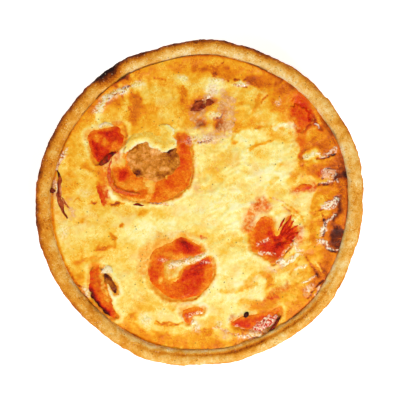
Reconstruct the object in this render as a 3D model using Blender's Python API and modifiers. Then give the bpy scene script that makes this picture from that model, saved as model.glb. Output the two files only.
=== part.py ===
"""A small tomato quiche: a pastry case, its baked custard filling, and the pieces set in its top.

The scene is in metres with +Z up. The origin is the centre of the flat base, and +Y is the side
where the filling stands highest. The sizes below are in millimetres, and MM turns them to metres.
"""

import math
from collections import namedtuple

import bmesh
import bpy
from mathutils import Vector, noise

MM = 0.001

# The pastry case: a tapering wall with a rounded rim
RIM_RADIUS = 80.0
CASE_HEIGHT = 29.8
FOOT_RADIUS = 73.0
FILLET = 3.0
BASE_THICKNESS = 4.0
WALL_THICKNESS = 5.6
RIM_HALF_WIDTH = 3.7
RIM_ROUNDING = 3.0
CREST_UNEVENNESS = 0.8
TURN_STEPS = 64
RIM_STEPS = 7

# How the rim strays from a circle: waves round it, how far each swings, and its phase in degrees
RIM_WAVES = (
    (2, 0.7, -60),
    (3, 0.2, -130),
    (5, 0.3, -155),
    (6, 0.3, -95),
    (9, 0.25, -60),
    (11, 0.2, 125),
)

# The custard, domed a little, higher towards +Y, and lumpy
GAP = 0.3
LEVEL = 27.2
LEVEL_LEAN = 0.8
LEVEL_DOME = 0.7
LEVEL_UNEVENNESS = 0.9
LUMP_SPACING = 20.0
CUSTARD_RINGS = 9
EDGE_ROUNDING = 1.6

# A paint is a name, a colour and a roughness.
PASTRY = ("pastry", (0.80, 0.48, 0.17), 0.75)
CUSTARD = ("custard", (0.95, 0.70, 0.22), 0.40)
TOMATO = ("tomato", (0.82, 0.16, 0.02), 0.30)
BROWNED = ("browned", (0.50, 0.24, 0.07), 0.55)
HAM = ("ham", (0.70, 0.34, 0.22), 0.45)

# A form is how deep a piece goes below the custard's level, how far it stands above, how round
# its section is (0 is a box and 1 an ellipse), and how finely it is made.
Form = namedtuple("Form", "depth proud roundness sides rings")
SLICE = Form(4.6, 0.7, 0.55, 26, 8)
CHUNK = Form(3.6, 0.7, 0.8, 16, 6)
CORE = Form(2.6, 1.1, 0.9, 26, 8)
RAGGED = 0.22

# A piece has its centre on the top, its half length and half width, its turn from +X in degrees,
# and, where it is curved, the angle that its length turns through.
Piece = namedtuple("Piece", "paint form at half turn bend", defaults=(0,))
SET_IN_CUSTARD = {
    "tomato_slice_large": Piece(TOMATO, SLICE, (-22.4, 17.2), (20.6, 17.8), -12),
    "tomato_slice_middle": Piece(TOMATO, SLICE, (-9.8, -32.6), (16.2, 15.8), 0),
    "tomato_slice_right": Piece(TOMATO, SLICE, (34.6, -15.4), (14.2, 13.8), 50),
    "tomato_chunk_left": Piece(TOMATO, CHUNK, (-48.8, 31.4), (8.8, 7.2), 56),
    "tomato_chunk_upper_right": Piece(TOMATO, CHUNK, (48.8, 41.8), (8.8, 5.6), -47),
    "tomato_wedge_lower_right": Piece(TOMATO, CHUNK, (27.4, -55.6), (12.2, 4.8), 24),
    "tomato_crescent": Piece(TOMATO, CHUNK, (-48.2, -43.0), (11.6, 2.8), -68, -46),
    "tomato_bit_bottom": Piece(TOMATO, CHUNK, (-3.4, -55.4), (6.0, 4.4), 12),
    "tomato_bit_right": Piece(TOMATO, CHUNK, (50.8, 8.2), (5.6, 2.8), 14),
    "ham_strip_left": Piece(HAM, CHUNK, (-67.6, 5.2), (10.6, 2.2), 86, -20),
    "ham_bit_top": Piece(HAM, CHUNK, (1.6, 49.2), (5.6, 3.0), 24),
    "ham_bit_right": Piece(HAM, CHUNK, (60.6, 14.2), (4.4, 3.0), 20),
    "browned_bit_left": Piece(BROWNED, CHUNK, (-42.4, -38.2), (6.0, 2.0), -60),
}
SET_IN_LARGE_SLICE = {
    "browned_core": Piece(BROWNED, CORE, (-22.0, 20.0), (12.6, 9.0), 4),
}


def clear_scene():
    for thing in list(bpy.data.objects):
        bpy.data.objects.remove(thing)


def collection(name):
    made = bpy.data.collections.new(name)
    bpy.context.scene.collection.children.link(made)
    return made


def painted(paint):
    """The material of a paint, made once."""
    name, colour, roughness = paint
    if name in bpy.data.materials:
        return bpy.data.materials[name]
    made = bpy.data.materials.new(name)
    made.use_nodes = True
    shader = made.node_tree.nodes["Principled BSDF"]
    shader.inputs["Base Color"].default_value = (*colour, 1)
    shader.inputs["Roughness"].default_value = roughness
    shader.inputs["Metallic"].default_value = 0
    return made


def placed(name, mesh, group, paint=None):
    """An object of the mesh in the collection, painted and shaded smooth between sharp edges."""
    thing = bpy.data.objects.new(name, mesh)
    group.objects.link(thing)
    if paint:
        mesh.materials.append(painted(paint))
    mesh.shade_smooth()
    mesh.set_sharp_from_angle(angle=math.radians(50))
    return thing


def arc(centre, radii, start, end, steps):
    """Points (radius, height) along an elliptic arc between two angles in degrees."""
    angles = [math.radians(start + (end - start) * i / steps) for i in range(steps + 1)]
    return [(centre[0] + radii[0] * math.cos(a), centre[1] + radii[1] * math.sin(a)) for a in angles]


def rim_centre():
    return RIM_RADIUS - RIM_HALF_WIDTH, CASE_HEIGHT - RIM_ROUNDING


def inner_corner():
    """Centre of the fillet between the case's floor and its inner wall."""
    return FOOT_RADIUS - WALL_THICKNESS - FILLET, BASE_THICKNESS + FILLET


def inner_wall(height):
    """The case's inner radius at a height between that fillet and the rim."""
    foot, start = inner_corner()
    foot += FILLET
    top = RIM_RADIUS - 2 * RIM_HALF_WIDTH
    return foot + (top - foot) * (height - start) / (rim_centre()[1] - start)


def case_profile():
    """The case's section from the middle of its floor, over the rim, to the middle of its base."""
    inside = arc(inner_corner(), (FILLET, FILLET), -90, 0, 3)
    rim = arc(rim_centre(), (RIM_HALF_WIDTH, RIM_ROUNDING), 180, 0, RIM_STEPS)
    taper = RIM_RADIUS - FOOT_RADIUS
    wall = [(FOOT_RADIUS + taper * share, rim_centre()[1] * share) for share in (0.7, 0.4)]
    foot = arc((FOOT_RADIUS - FILLET, FILLET), (FILLET, FILLET), 0, -90, 3)
    return [(0, BASE_THICKNESS), *inside, *rim, *wall, *foot, (0, 0)]


def custard_profile():
    """The custard's section: its top, a rounded edge, the wall, and the underside."""
    shoulder = (inner_wall(LEVEL - EDGE_ROUNDING) - GAP, LEVEL - EDGE_ROUNDING)
    edge = shoulder[0] - EDGE_ROUNDING / 2
    top = [(edge * i / CUSTARD_RINGS, LEVEL) for i in range(CUSTARD_RINGS + 1)]
    foot = arc(inner_corner(), (FILLET - GAP, FILLET - GAP), 0, -90, 3)
    return [*top, shoulder, *foot, (0, BASE_THICKNESS + GAP)]


def turned(profile):
    """A mesh made by turning a section once round Z with a Screw modifier."""
    section = bpy.data.meshes.new("section")
    points = [(radius * MM, 0, height * MM) for radius, height in profile]
    section.from_pydata(points, [(i, i + 1) for i in range(len(points) - 1)], [])
    guide = bpy.data.objects.new("section", section)
    bpy.context.scene.collection.objects.link(guide)
    screw = guide.modifiers.new("turn", "SCREW")
    screw.steps = TURN_STEPS
    screw.render_steps = TURN_STEPS
    screw.use_merge_vertices = True
    screw.merge_threshold = 0.00001
    graph = bpy.context.evaluated_depsgraph_get()
    made = bpy.data.meshes.new_from_object(guide.evaluated_get(graph))
    bpy.data.objects.remove(guide)
    return made


def pushed_out(point):
    """The point moved out or in by the rim's waves, and the less so the nearer it is to the base."""
    angle = math.atan2(point.y, point.x)
    wave = sum(swing * math.cos(count * angle + math.radians(phase)) for count, swing, phase in RIM_WAVES)
    share = (point.z / MM / CASE_HEIGHT) ** 0.7
    out = 1 + share * wave / RIM_RADIUS
    return Vector((point.x * out, point.y * out, point.z))


def custard_level(x, y):
    """The height of the custard's top at a place, in millimetres."""
    out = math.hypot(x, y) / RIM_RADIUS
    lumps = noise.noise(Vector((x, y, 0)) / LUMP_SPACING)
    return LEVEL + LEVEL_LEAN * y / RIM_RADIUS + LEVEL_DOME * (1 - out * out) + LEVEL_UNEVENNESS * lumps


def pastry_case(group):
    mesh = turned(case_profile())
    for vertex in mesh.vertices:
        vertex.co = pushed_out(vertex.co)
        if vertex.co.z > rim_centre()[1] * MM:
            around = vertex.co / (RIM_RADIUS * MM) * 2
            vertex.co.z += CREST_UNEVENNESS * noise.noise(around) * MM
    return placed("crust", mesh, group, PASTRY)


def custard(group):
    mesh = turned(custard_profile())
    for vertex in mesh.vertices:
        is_top = vertex.co.z > (LEVEL - EDGE_ROUNDING / 2) * MM
        vertex.co = pushed_out(vertex.co)
        if is_top:
            vertex.co.z = custard_level(vertex.co.x / MM, vertex.co.y / MM) * MM
    return placed("filling", mesh, group, CUSTARD)


def bent(point, whole_angle, half_length):
    """The point of a piece along X moved as the piece is bent round an arc of the whole angle."""
    radius = half_length * 2 / whole_angle
    along = point.x / radius
    reach = radius + point.y
    return Vector((reach * math.sin(along), reach * math.cos(along) - radius, point.z))


def lump(piece, grow=0.0):
    """The mesh of a flattened lump with a ragged outline; grow makes it that much fatter."""
    form = piece.form
    soft = bmesh.new()
    bmesh.ops.create_uvsphere(soft, u_segments=form.sides, v_segments=form.rings, radius=1)
    for vertex in soft.verts:
        x, y, z = vertex.co
        height = math.copysign(abs(z) ** 1.3, z)
        across = math.hypot(x, y)
        if across > 0.001:
            spread = (1 - abs(height) ** (2 / form.roundness)) ** (form.roundness / 2) / across
            x *= spread
            y *= spread
        uneven = 1 + RAGGED * noise.noise(Vector((x + piece.at[0], y + piece.at[1], 0.5)))
        thickness = (form.proud if z > 0 else form.depth) + grow
        out_x = x * (piece.half[0] * uneven + grow)
        out_y = y * (piece.half[1] * uneven + grow)
        vertex.co = Vector((out_x, out_y, height * thickness))
        if piece.bend:
            vertex.co = bent(vertex.co, math.radians(piece.bend), piece.half[0])
        vertex.co *= MM
    mesh = bpy.data.meshes.new("lump")
    soft.to_mesh(mesh)
    soft.free()
    return mesh


def settle(thing, piece):
    """Lays a piece, or its pocket's cutter, in its place at the custard's level."""
    thing.location = Vector((*piece.at, custard_level(*piece.at))) * MM
    thing.rotation_euler.z = math.radians(piece.turn)


def set_in(body, name, piece, group, cutters):
    """A piece in a pocket of the body that is wider than the piece by GAP all round."""
    made = placed(name, lump(piece), group, piece.paint)
    settle(made, piece)
    pocket = placed(name + "_pocket", lump(piece, grow=GAP), cutters)
    settle(pocket, piece)
    pocket.hide_render = True
    pocket.display_type = "WIRE"
    cut = body.modifiers.new(pocket.name, "BOOLEAN")
    cut.operation = "DIFFERENCE"
    cut.solver = "EXACT"
    cut.object = pocket
    return made


def main():
    clear_scene()
    parts = collection("quiche")
    cutters = collection("cutters")
    pastry_case(parts)
    filling = custard(parts)
    toppings = {name: set_in(filling, name, piece, parts, cutters) for name, piece in SET_IN_CUSTARD.items()}
    for name, piece in SET_IN_LARGE_SLICE.items():
        set_in(toppings["tomato_slice_large"], name, piece, parts, cutters)


main()
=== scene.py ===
import math

import bmesh
import bpy
import numpy as np
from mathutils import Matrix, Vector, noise


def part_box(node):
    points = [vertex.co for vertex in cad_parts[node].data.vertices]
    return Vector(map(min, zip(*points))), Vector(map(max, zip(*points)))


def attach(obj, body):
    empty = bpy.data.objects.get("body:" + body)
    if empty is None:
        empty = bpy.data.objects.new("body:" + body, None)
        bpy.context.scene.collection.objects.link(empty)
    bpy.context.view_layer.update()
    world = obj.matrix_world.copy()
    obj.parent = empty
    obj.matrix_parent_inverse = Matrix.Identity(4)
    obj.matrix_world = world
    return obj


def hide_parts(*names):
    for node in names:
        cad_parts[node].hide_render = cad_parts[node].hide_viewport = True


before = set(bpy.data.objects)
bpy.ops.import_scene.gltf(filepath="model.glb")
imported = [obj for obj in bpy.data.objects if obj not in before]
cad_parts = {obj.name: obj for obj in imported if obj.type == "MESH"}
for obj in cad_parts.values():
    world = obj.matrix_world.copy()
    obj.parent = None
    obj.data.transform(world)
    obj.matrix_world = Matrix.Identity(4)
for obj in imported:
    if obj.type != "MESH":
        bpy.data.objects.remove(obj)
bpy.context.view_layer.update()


# Pastry case. Shortcrust pastry pressed into a tin with sloping sides, so that its wall and base are
# even and its top edge is a rounded, crumbly rim. The oven has browned it most along the outer edge,
# and burnt it in one place at the upper left. Its tone also holds painted shade and painted light,
# which follow the main light round the rim.
MM = 0.001
CASE_HEIGHT = 29.8
RIM_RADIUS = 80.0
FOOT_RADIUS = 73.0
FILLET = 3.0
WALL_THICKNESS = 5.6
BASE_THICKNESS = 4.0
RIM_HALF_WIDTH = 3.7
RIM_ROUNDING = 3.0
RIM_CENTRE = np.array((RIM_RADIUS - RIM_HALF_WIDTH, CASE_HEIGHT - RIM_ROUNDING))
RIM_WAVES = ((2, 0.7, -60), (3, 0.2, -130), (5, 0.3, -155), (6, 0.3, -95), (9, 0.25, -60), (11, 0.2, 125))
TURNS = 640
BURN_ANGLE = 126
PASTRY_TONES = (
    (0.0, (252, 230, 180)),
    (0.2, (244, 200, 112)),
    (0.4, (234, 162, 52)),
    (0.6, (216, 126, 18)),
    (0.8, (180, 86, 6)),
    (1.0, (112, 44, 6)),
    (1.25, (40, 14, 8)),
)
# How dark the rim is from its inner edge over its crest to its outer edge, on each side of the quiche:
# its browning, with painted shade on the slopes that face away from the main light and painted light
# on the inner slopes that the rim shades.
RIM_BANDS = (-0.9, -0.35, 0.2, 0.75, 1.0)
RIM_BROWNING_AND_SHADE = {
    0: (0.16, 0.32, 0.3, 0.4, 0.64),
    90: (0.18, 0.2, 0.46, 0.9, 1.05),
    180: (0.42, 0.44, 0.52, 0.88, 1.02),
    270: (0.22, 0.46, 0.36, 0.28, 0.44),
}


def arc(centre, radii, start, end, steps):
    """Points (radius, height) along an elliptic arc between two angles in degrees."""
    angles = np.radians(np.linspace(start, end, steps + 1))
    return np.stack((centre[0] + radii[0] * np.cos(angles), centre[1] + radii[1] * np.sin(angles)), 1)


def run(start, end, spacing):
    """Evenly spaced points from start up to, but without, end."""
    steps = max(1, round(math.dist(start, end) / spacing))
    return np.linspace(start, end, steps, endpoint=False)


def rim_wave(angle):
    """How far the rim stands out from its circle."""
    return sum(swing * np.cos(count * angle + math.radians(phase)) for count, swing, phase in RIM_WAVES)


def pushed_out(points):
    """Places moved out or in by the rim's waves, and the less so the nearer they are to the base."""
    share = (np.clip(points[:, 2], 0, None) / CASE_HEIGHT) ** 0.7
    out = 1 + share * rim_wave(np.arctan2(points[:, 1], points[:, 0])) / RIM_RADIUS
    return points * np.stack((out, out, np.ones(len(out))), 1)


def ripples(points, spacing, seed=0):
    """Smooth unevenness from -1 to 1 whose bumps are that many millimetres apart."""
    return np.array([noise.noise(place) for place in (points / spacing + 7.3 * seed).tolist()])


def smooth(share):
    """Eases a share in and out between 0 and 1."""
    share = np.clip(share, 0, 1)
    return share * share * (3 - 2 * share)


def towards(angle, middle, half):
    """1 in the middle of a stretch of the round, easing to 0 at half its width in degrees."""
    return smooth(1 - np.abs((np.degrees(angle) - middle + 180) % 360 - 180) / half)


def places(mesh):
    """A mesh's vertices in millimetres."""
    flat = np.empty(len(mesh.vertices) * 3, np.float32)
    mesh.vertices.foreach_get("co", flat)
    return flat.reshape(-1, 3).astype(float) / MM


def facing(mesh):
    """The way each vertex faces."""
    flat = np.empty(len(mesh.vertices) * 3, np.float32)
    mesh.vertices.foreach_get("normal", flat)
    return flat.reshape(-1, 3).astype(float)


def move_to(mesh, points):
    mesh.vertices.foreach_set("co", (points * MM).astype(np.float32).ravel())
    mesh.update()


def note(mesh, name, values):
    """Keeps a number for each vertex, for the finish to read."""
    layer = mesh.attributes.new(name, "FLOAT", "POINT")
    layer.data.foreach_set("value", np.asarray(values, np.float32))


def piece(name, shape, finish, slot, *nodes):
    """Turns a bmesh into a piece of the quiche that stands for the CAD nodes."""
    mesh = bpy.data.meshes.new(name)
    shape.to_mesh(mesh)
    shape.free()
    mesh.shade_smooth()
    mesh.materials.append(finish)
    made = bpy.data.objects.new(name, mesh)
    bpy.context.scene.collection.objects.link(made)
    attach(made, "root")
    if nodes:
        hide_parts(*nodes)
    return made


def linear(colour):
    """A colour given as the eye reads it, each part up to 255, as the renderer counts light."""
    shares = [part / 255 for part in colour]
    return (*(s / 12.92 if s <= 0.04045 else ((s + 0.055) / 1.055) ** 2.4 for s in shares), 1)


class Sum:
    """A number that varies over a surface. Arithmetic on it adds Math nodes to the finish."""

    def __init__(self, finish, socket):
        self.finish = finish
        self.socket = socket

    def maths(self, operation, *terms):
        return self.finish.node("ShaderNodeMath", {"operation": operation}, dict(enumerate(terms)))

    def __add__(self, other):
        return self.maths("ADD", self, other)

    def __sub__(self, other):
        return self.maths("SUBTRACT", self, other)

    def __rsub__(self, other):
        return self.maths("SUBTRACT", other, self)

    def __mul__(self, other):
        return self.maths("MULTIPLY", self, other)

    def __truediv__(self, other):
        return self.maths("DIVIDE", self, other)

    __radd__ = __add__
    __rmul__ = __mul__

    def held(self, low=0, high=1):
        """Kept between two limits."""
        return self.maths("MINIMUM", self.maths("MAXIMUM", self, low), high)

    def step(self, low, high):
        """Eased from 0 at low to 1 at high."""
        settings = {"interpolation_type": "SMOOTHSTEP"}
        return self.finish.node("ShaderNodeMapRange", settings, {"Value": self, "From Min": low, "From Max": high})


class Finish:
    """A material in the making, with its patterns measured in millimetres."""

    def __init__(self, name):
        self.material = bpy.data.materials.new(name)
        self.material.use_nodes = True
        self.nodes = self.material.node_tree.nodes
        self.shader = self.nodes["Principled BSDF"]
        spot = self.node("ShaderNodeTexCoord", {}, {}, "Object")
        self.spot = self.node("ShaderNodeVectorMath", {"operation": "SCALE"}, {0: spot, "Scale": 1 / MM})

    def node(self, kind, settings, inputs, output=0):
        made = self.nodes.new(kind)
        for name, value in settings.items():
            if name == "stops":
                self.set_stops(made.color_ramp, value)
            else:
                setattr(made, name, value)
        for name, value in inputs.items():
            self.join(value, made.inputs[name])
        return Sum(self, made.outputs[output])

    def set_stops(self, ramp, stops):
        """A ramp's last stop is at 1, so the stops are spread over what goes in divided by the last."""
        last = stops[-1][0]
        while len(ramp.elements) < len(stops):
            ramp.elements.new(1)
        for element, (share, colour) in zip(ramp.elements, stops):
            element.position = share / last
            element.color = linear(colour)

    def join(self, value, socket):
        if isinstance(value, Sum):
            self.material.node_tree.links.new(value.socket, socket)
        else:
            socket.default_value = value

    def noted(self, name):
        """The number kept for each vertex under a name."""
        return self.node("ShaderNodeAttribute", {"attribute_name": name}, {}, "Fac")

    def grain(self, spacing, detail=2):
        """Noise around 0, mostly from -0.3 to 0.3, with grains that many millimetres apart."""
        inputs = {"Vector": self.spot, "Scale": 1 / spacing, "Detail": detail, "Roughness": 0.55}
        return self.node("ShaderNodeTexNoise", {}, inputs, "Fac") - 0.5

    def dots(self, spacing, size):
        """1 at the middle of scattered round dots and 0 away from them."""
        inputs = {"Vector": self.spot, "Scale": 1 / spacing, "Randomness": 1}
        away = self.node("ShaderNodeTexVoronoi", {}, inputs, "Distance")
        return 1 - away.step(size / spacing * 0.4, size / spacing)

    def tones(self, value, stops):
        """Colours along a scale of tones."""
        last = stops[-1][0]
        return self.node("ShaderNodeValToRGB", {"stops": stops}, {"Fac": value.held(0, last) / last})

    def mix(self, share, under, over, blend="MIX"):
        """One colour over another, by a share."""
        settings = {"data_type": "RGBA", "blend_type": blend}
        under = under if isinstance(under, Sum) else linear(under)
        over = over if isinstance(over, Sum) else linear(over)
        return self.node("ShaderNodeMix", settings, {0: share, 6: under, 7: over}, 2)

    def bumpy(self, height):
        """The shading of a relief whose height is in millimetres."""
        return self.node("ShaderNodeBump", {}, {"Height": height, "Distance": MM, "Strength": 1.0})

    def done(self, **sockets):
        for name, value in sockets.items():
            self.join(value, self.shader.inputs[name.replace("_", " ")])
        return self.material


def pastry_finish():
    pastry = Finish("baked_pastry")
    fine = pastry.grain(0.55, 3)
    coarse = pastry.grain(2.2, 3)
    crinkled = pastry.grain(6.0, 2).step(-0.05, 0.12)
    tone = pastry.noted("browning") + fine * (crinkled * 0.55 + 0.35) + coarse * 0.55
    colour = pastry.tones(tone, PASTRY_TONES)
    flour = pastry.dots(1.5, 0.5) * pastry.grain(4.0).step(0.0, 0.12)
    colour = pastry.mix(flour * 0.4, colour, (246, 216, 160))
    specks = pastry.dots(1.9, 0.42) * pastry.grain(5.0).step(-0.06, 0.08)
    colour = pastry.mix(specks * 0.6, colour, (122, 62, 20))
    return pastry.done(
        Base_Color=colour,
        Roughness=0.7,
        Normal=pastry.bumpy(fine * 0.35 + coarse * 0.3 - specks * 0.15),
        Subsurface_Weight=0.06,
        Subsurface_Radius=(1.0, 0.5, 0.2),
        Subsurface_Scale=0.001,
        Specular_IOR_Level=0.1,
    )


inner_foot = FOOT_RADIUS - WALL_THICKNESS
inner_corner = (inner_foot - FILLET, BASE_THICKNESS + FILLET)
rim_low = RIM_CENTRE[1]
case_section = np.concatenate(
    (
        run((0, BASE_THICKNESS), (inner_corner[0], BASE_THICKNESS), 6),
        arc(inner_corner, (FILLET, FILLET), -90, 0, 4),
        run((inner_foot, inner_corner[1]), (RIM_RADIUS - 2 * RIM_HALF_WIDTH, rim_low), 1.2)[1:],
        arc(RIM_CENTRE, (RIM_HALF_WIDTH, RIM_ROUNDING), 180, 0, 26),
        run((RIM_RADIUS, rim_low), (FOOT_RADIUS, FILLET), 0.8)[1:],
        arc((FOOT_RADIUS - FILLET, FILLET), (FILLET, FILLET), 0, -90, 7),
        run((FOOT_RADIUS - FILLET, 0), (0, 0), 2.5)[1:],
        ((0, 0),),
    )
)
case = bmesh.new()
corners = [case.verts.new((radius * MM, 0, height * MM)) for radius, height in case_section]
sides = [case.edges.new(pair) for pair in zip(corners, corners[1:])]
bmesh.ops.spin(
    case,
    geom=corners + sides,
    cent=(0, 0, 0),
    axis=(0, 0, 1),
    angle=math.tau,
    steps=TURNS,
    use_merge=True,
)
bmesh.ops.remove_doubles(case, verts=case.verts, dist=0.0001 * MM)
bmesh.ops.recalc_face_normals(case, faces=case.faces)
pastry_case = piece("pastry_case", case, pastry_finish(), "pastry", "crust")

at = pushed_out(places(pastry_case.data))
out = facing(pastry_case.data)
radius = np.hypot(at[:, 0], at[:, 1])
angle = np.arctan2(at[:, 1], at[:, 0])
across_rim = (radius - RIM_CENTRE[0] - rim_wave(angle)) / RIM_HALF_WIDTH
on_rim = smooth((at[:, 2] - 20) / 6)
on_floor = (at[:, 2] < rim_low - 4) & (across_rim < 0.2) & (at[:, 2] > 1)
at[:, 2] += smooth((at[:, 2] - rim_low) / 2) * 0.8 * ripples(at / RIM_RADIUS, 0.5)
crumbly = 0.55 * ripples(at, 9, 1) + 0.35 * ripples(at, 3.4, 2) + 0.3 * ripples(at, 1.5, 3)
crumbly = crumbly * (0.35 + 0.65 * on_rim)
crumbly = np.where(on_floor, 0, crumbly)
crumbly = np.where(out[:, 2] < -0.7, 0.25 * crumbly, crumbly)
at += out * crumbly[:, None]
valley = on_rim * towards(angle, -68, 66) * np.exp(-(((across_rim + 0.42) / 0.26) ** 2))
at[:, 2] = np.clip(at[:, 2] - 0.6 * valley, 0, None)
burn = np.abs((np.degrees(angle) - BURN_ANGLE + 180) % 360 - 180) / 6.5
burn = smooth(1.3 - np.hypot(burn, np.clip(0.1 - across_rim, 0, None) * 0.9)) * on_rim
rim_browning_and_shade = sum(
    towards(angle, side, 90) * np.interp(across_rim, RIM_BANDS, bands) for side, bands in RIM_BROWNING_AND_SHADE.items()
)
browning = 0.46 + on_rim * (rim_browning_and_shade - 0.46) + 0.14 * ripples(at, 14, 4) + 0.18 * ripples(at, 5, 5)
# Browner towards the foot of the wall, and painted shade in the rim's groove at the lower right.
browning += 0.2 * smooth((6 - at[:, 2]) / 6) * (out[:, 2] > -0.9) + 0.36 * valley
browning += burn * 0.5 + (0.05 * towards(angle, 120, 16) - 0.16 * towards(angle, -158, 22)) * on_rim
move_to(pastry_case.data, at)
note(pastry_case.data, "browning", browning)


# Baked custard. Eggs, cream and grated cheese, poured into the case and baked until its skin sets,
# wrinkles and browns. It has sunk a little in the middle of each slice and torn open over it, so the
# openings are listed here, each as an outline measured from the middle of the piece that it shows.
LEVEL = 27.2
LEVEL_LEAN = 0.8
LEVEL_DOME = 0.7
LEVEL_UNEVENNESS = 0.9
GAP = 0.3
COLUMNS = 300
SINK = 1.5
OPENINGS = {
    "tomato_slice_large": (
        (-11.5, 11), (-8, 12.8), (-4.5, 13.5), (-1, 13.5), (0.5, 10.5), (5, 9), (8, 8.5), (13, 11),
        (12.5, 16.5), (14.5, 17.5), (17.5, 15.5), (19.5, 10), (20, 3), (20, -3), (17, -9.5),
        (11.5, -13.5), (5.5, -15.5), (-1, -16), (-8, -15.5), (-14.5, -13.5), (-19, -10), (-20.5, -5),
        (-20.5, -0.5), (-17, 1.5), (-14, 2.5), (-13.5, 6), (-12.5, 9),
    ),
    "tomato_slice_middle": (
        (-15.5, 2.5), (-13, 8.5), (-9.5, 11), (-4, 13), (0, 16.5), (3.5, 14.5), (9.5, 11.5),
        (11.5, 8), (7.5, 6), (1.5, 4.5), (-4, 4), (-7.5, 3), (-7.5, -2), (-6, -5.5),
        (-1, -4.5), (1.5, 0), (6.5, 2.5), (12, 5.5), (15.5, 5), (17, 0), (15.5, -5.5), (12.5, -9.5),
        (8, -14), (2, -15.5), (-6, -15), (-11, -12), (-15.5, -6.5),
    ),
    "tomato_slice_right": (
        (-9.5, 3), (-7, 7.5), (-3.5, 9.5), (0.5, 8.5), (1, 4.5), (2.5, 1), (4.5, 3.5), (7, 7.5),
        (8.5, 9.5), (9.5, 7), (9.5, 4.5), (12.5, 4), (12.5, 1), (10.5, -1.5), (9.5, -4.5),
        (7, -8), (3.5, -11.5), (0.5, -14), (-2.5, -11), (-6, -9.5), (-9.5, -7.5), (-11, -2),
    ),
    "tomato_chunk_left": (
        (-6, 2.5), (-1, 4.5), (4, 5.2), (9, 7), (12.5, 6), (12.5, -1.5), (9, -5), (4, -9.5),
        (0, -12.5), (-2.5, -11.5), (-4, -5.5), (-5.5, -1),
    ),
    "tomato_crescent": (
        (-6, 11), (-1.5, 11.5), (0.6, 7.5), (1.4, 1), (2.4, -5), (5, -10.5), (7.5, -14), (3.5, -14.5),
        (-1.5, -11.5), (-4.5, -7), (-6.5, -2), (-6.5, 5.5),
    ),
    "browned_bit_left": (
        (-4.5, 3.5), (-2.5, 3.5), (-0.5, 1.0), (1.2, -3), (1.8, -5.5), (0.2, -5.5), (-2, -2), (-4, 1),
    ),
    "tomato_bit_bottom": (
        (-6, 2.5), (-2.5, 4.2), (2, 4.5), (5.5, 3.5), (4.5, 1.5), (0, 0.5), (-1.5, -3), (-3.5, -3.5),
    ),
    "tomato_chunk_upper_right": (
        (-4, 8.5), (-1, 10), (2, 8.5), (5, 5), (6.5, 0.5), (7.5, -3), (4.5, -3.5), (2, -6.5), (-1, -6.5),
        (-2, -2), (-4.5, 1), (-5, 5),
    ),
    "tomato_wedge_lower_right": (
        (-12, -3), (-8, -1.0), (-3.5, -0.2), (2, 1), (8, 2.5), (12, 4), (12, 0.5), (10, -3.5),
        (6.5, -7.5), (0, -7.5), (-6.5, -6.5), (-11, -6),
    ),
}


def middle_of(node):
    """The middle of a CAD piece, across and up the quiche, in millimetres."""
    low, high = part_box(node)
    return np.array((low.x + high.x, low.y + high.y)) / 2 / MM


def rounded(corners, steps=6):
    """A smooth closed outline through the corners."""
    here = np.asarray(corners, float)
    before, after, beyond = np.roll(here, 1, 0), np.roll(here, -1, 0), np.roll(here, -2, 0)
    share = (np.arange(steps) / steps)[:, None, None]
    curve = here * 2 + (after - before) * share
    curve = curve + (before * 2 - here * 5 + after * 4 - beyond) * share**2
    curve = curve + (here * 3 - before - after * 3 + beyond) * share**3
    return (curve / 2).transpose(1, 0, 2).reshape(-1, 2)


def away_from(points, line):
    """The distance of each place from a line through the given points."""
    nearest = np.full(len(points), np.inf)
    for start, end in zip(np.asarray(line, float), np.asarray(line, float)[1:]):
        side = end - start
        reach = points[:, :2] - start
        share = np.clip(reach @ side / (side @ side), 0, 1)
        nearest = np.minimum(nearest, np.hypot(*(reach - share[:, None] * side).T))
    return nearest


def outside(points, outline):
    """How far each place lies outside a closed outline; inside it the distance is negative."""
    inside = np.zeros(len(points), bool)
    for start, end in zip(outline, np.roll(outline, -1, 0)):
        spans = (start[1] > points[:, 1]) != (end[1] > points[:, 1])
        rise = end[1] - start[1] or 1
        inside ^= spans & (points[:, 0] < start[0] + (points[:, 1] - start[1]) * (end[0] - start[0]) / rise)
    nearest = away_from(points, np.concatenate((outline, outline[:1])))
    return np.where(inside, -nearest, nearest)


def touch(points, where, size):
    """How far each place is covered by a dab, 1 in its middle and 0 outside its soft edge. A place and
    two half sizes with a turn in degrees make an oval dab; a list of places and a width make a stroke."""
    where = np.asarray(where, float)
    if where.ndim == 2:
        return smooth((1.7 - 2 * away_from(points, where) / size) / 1.3)
    turn = math.radians(size[2]) if len(size) > 2 else 0
    right, up = points[:, 0] - where[0], points[:, 1] - where[1]
    along = right * math.cos(turn) + up * math.sin(turn)
    across = up * math.cos(turn) - right * math.sin(turn)
    return smooth((1.65 - np.hypot(along / size[0], across / size[1])) / 1.3)


def dabbed(points, ground, *dabs, origin=(0, 0)):
    """A tone built up by dabs, each given with its tone and covering what is under it."""
    tone = np.full(len(points), ground, float)
    for where, size, value in dabs:
        share = touch(points, np.asarray(where, float) + origin, size)
        tone = tone * (1 - share) + value * share
    return tone


def custard_level(points):
    """The height of the custard's top before it wrinkles, as the CAD filling has it."""
    flat = points * (1, 1, 0)
    out = np.hypot(points[:, 0], points[:, 1]) / RIM_RADIUS
    lean = LEVEL_LEAN * points[:, 1] / RIM_RADIUS
    return LEVEL + lean + LEVEL_DOME * (1 - out**2) + LEVEL_UNEVENNESS * ripples(flat, 20)


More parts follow.
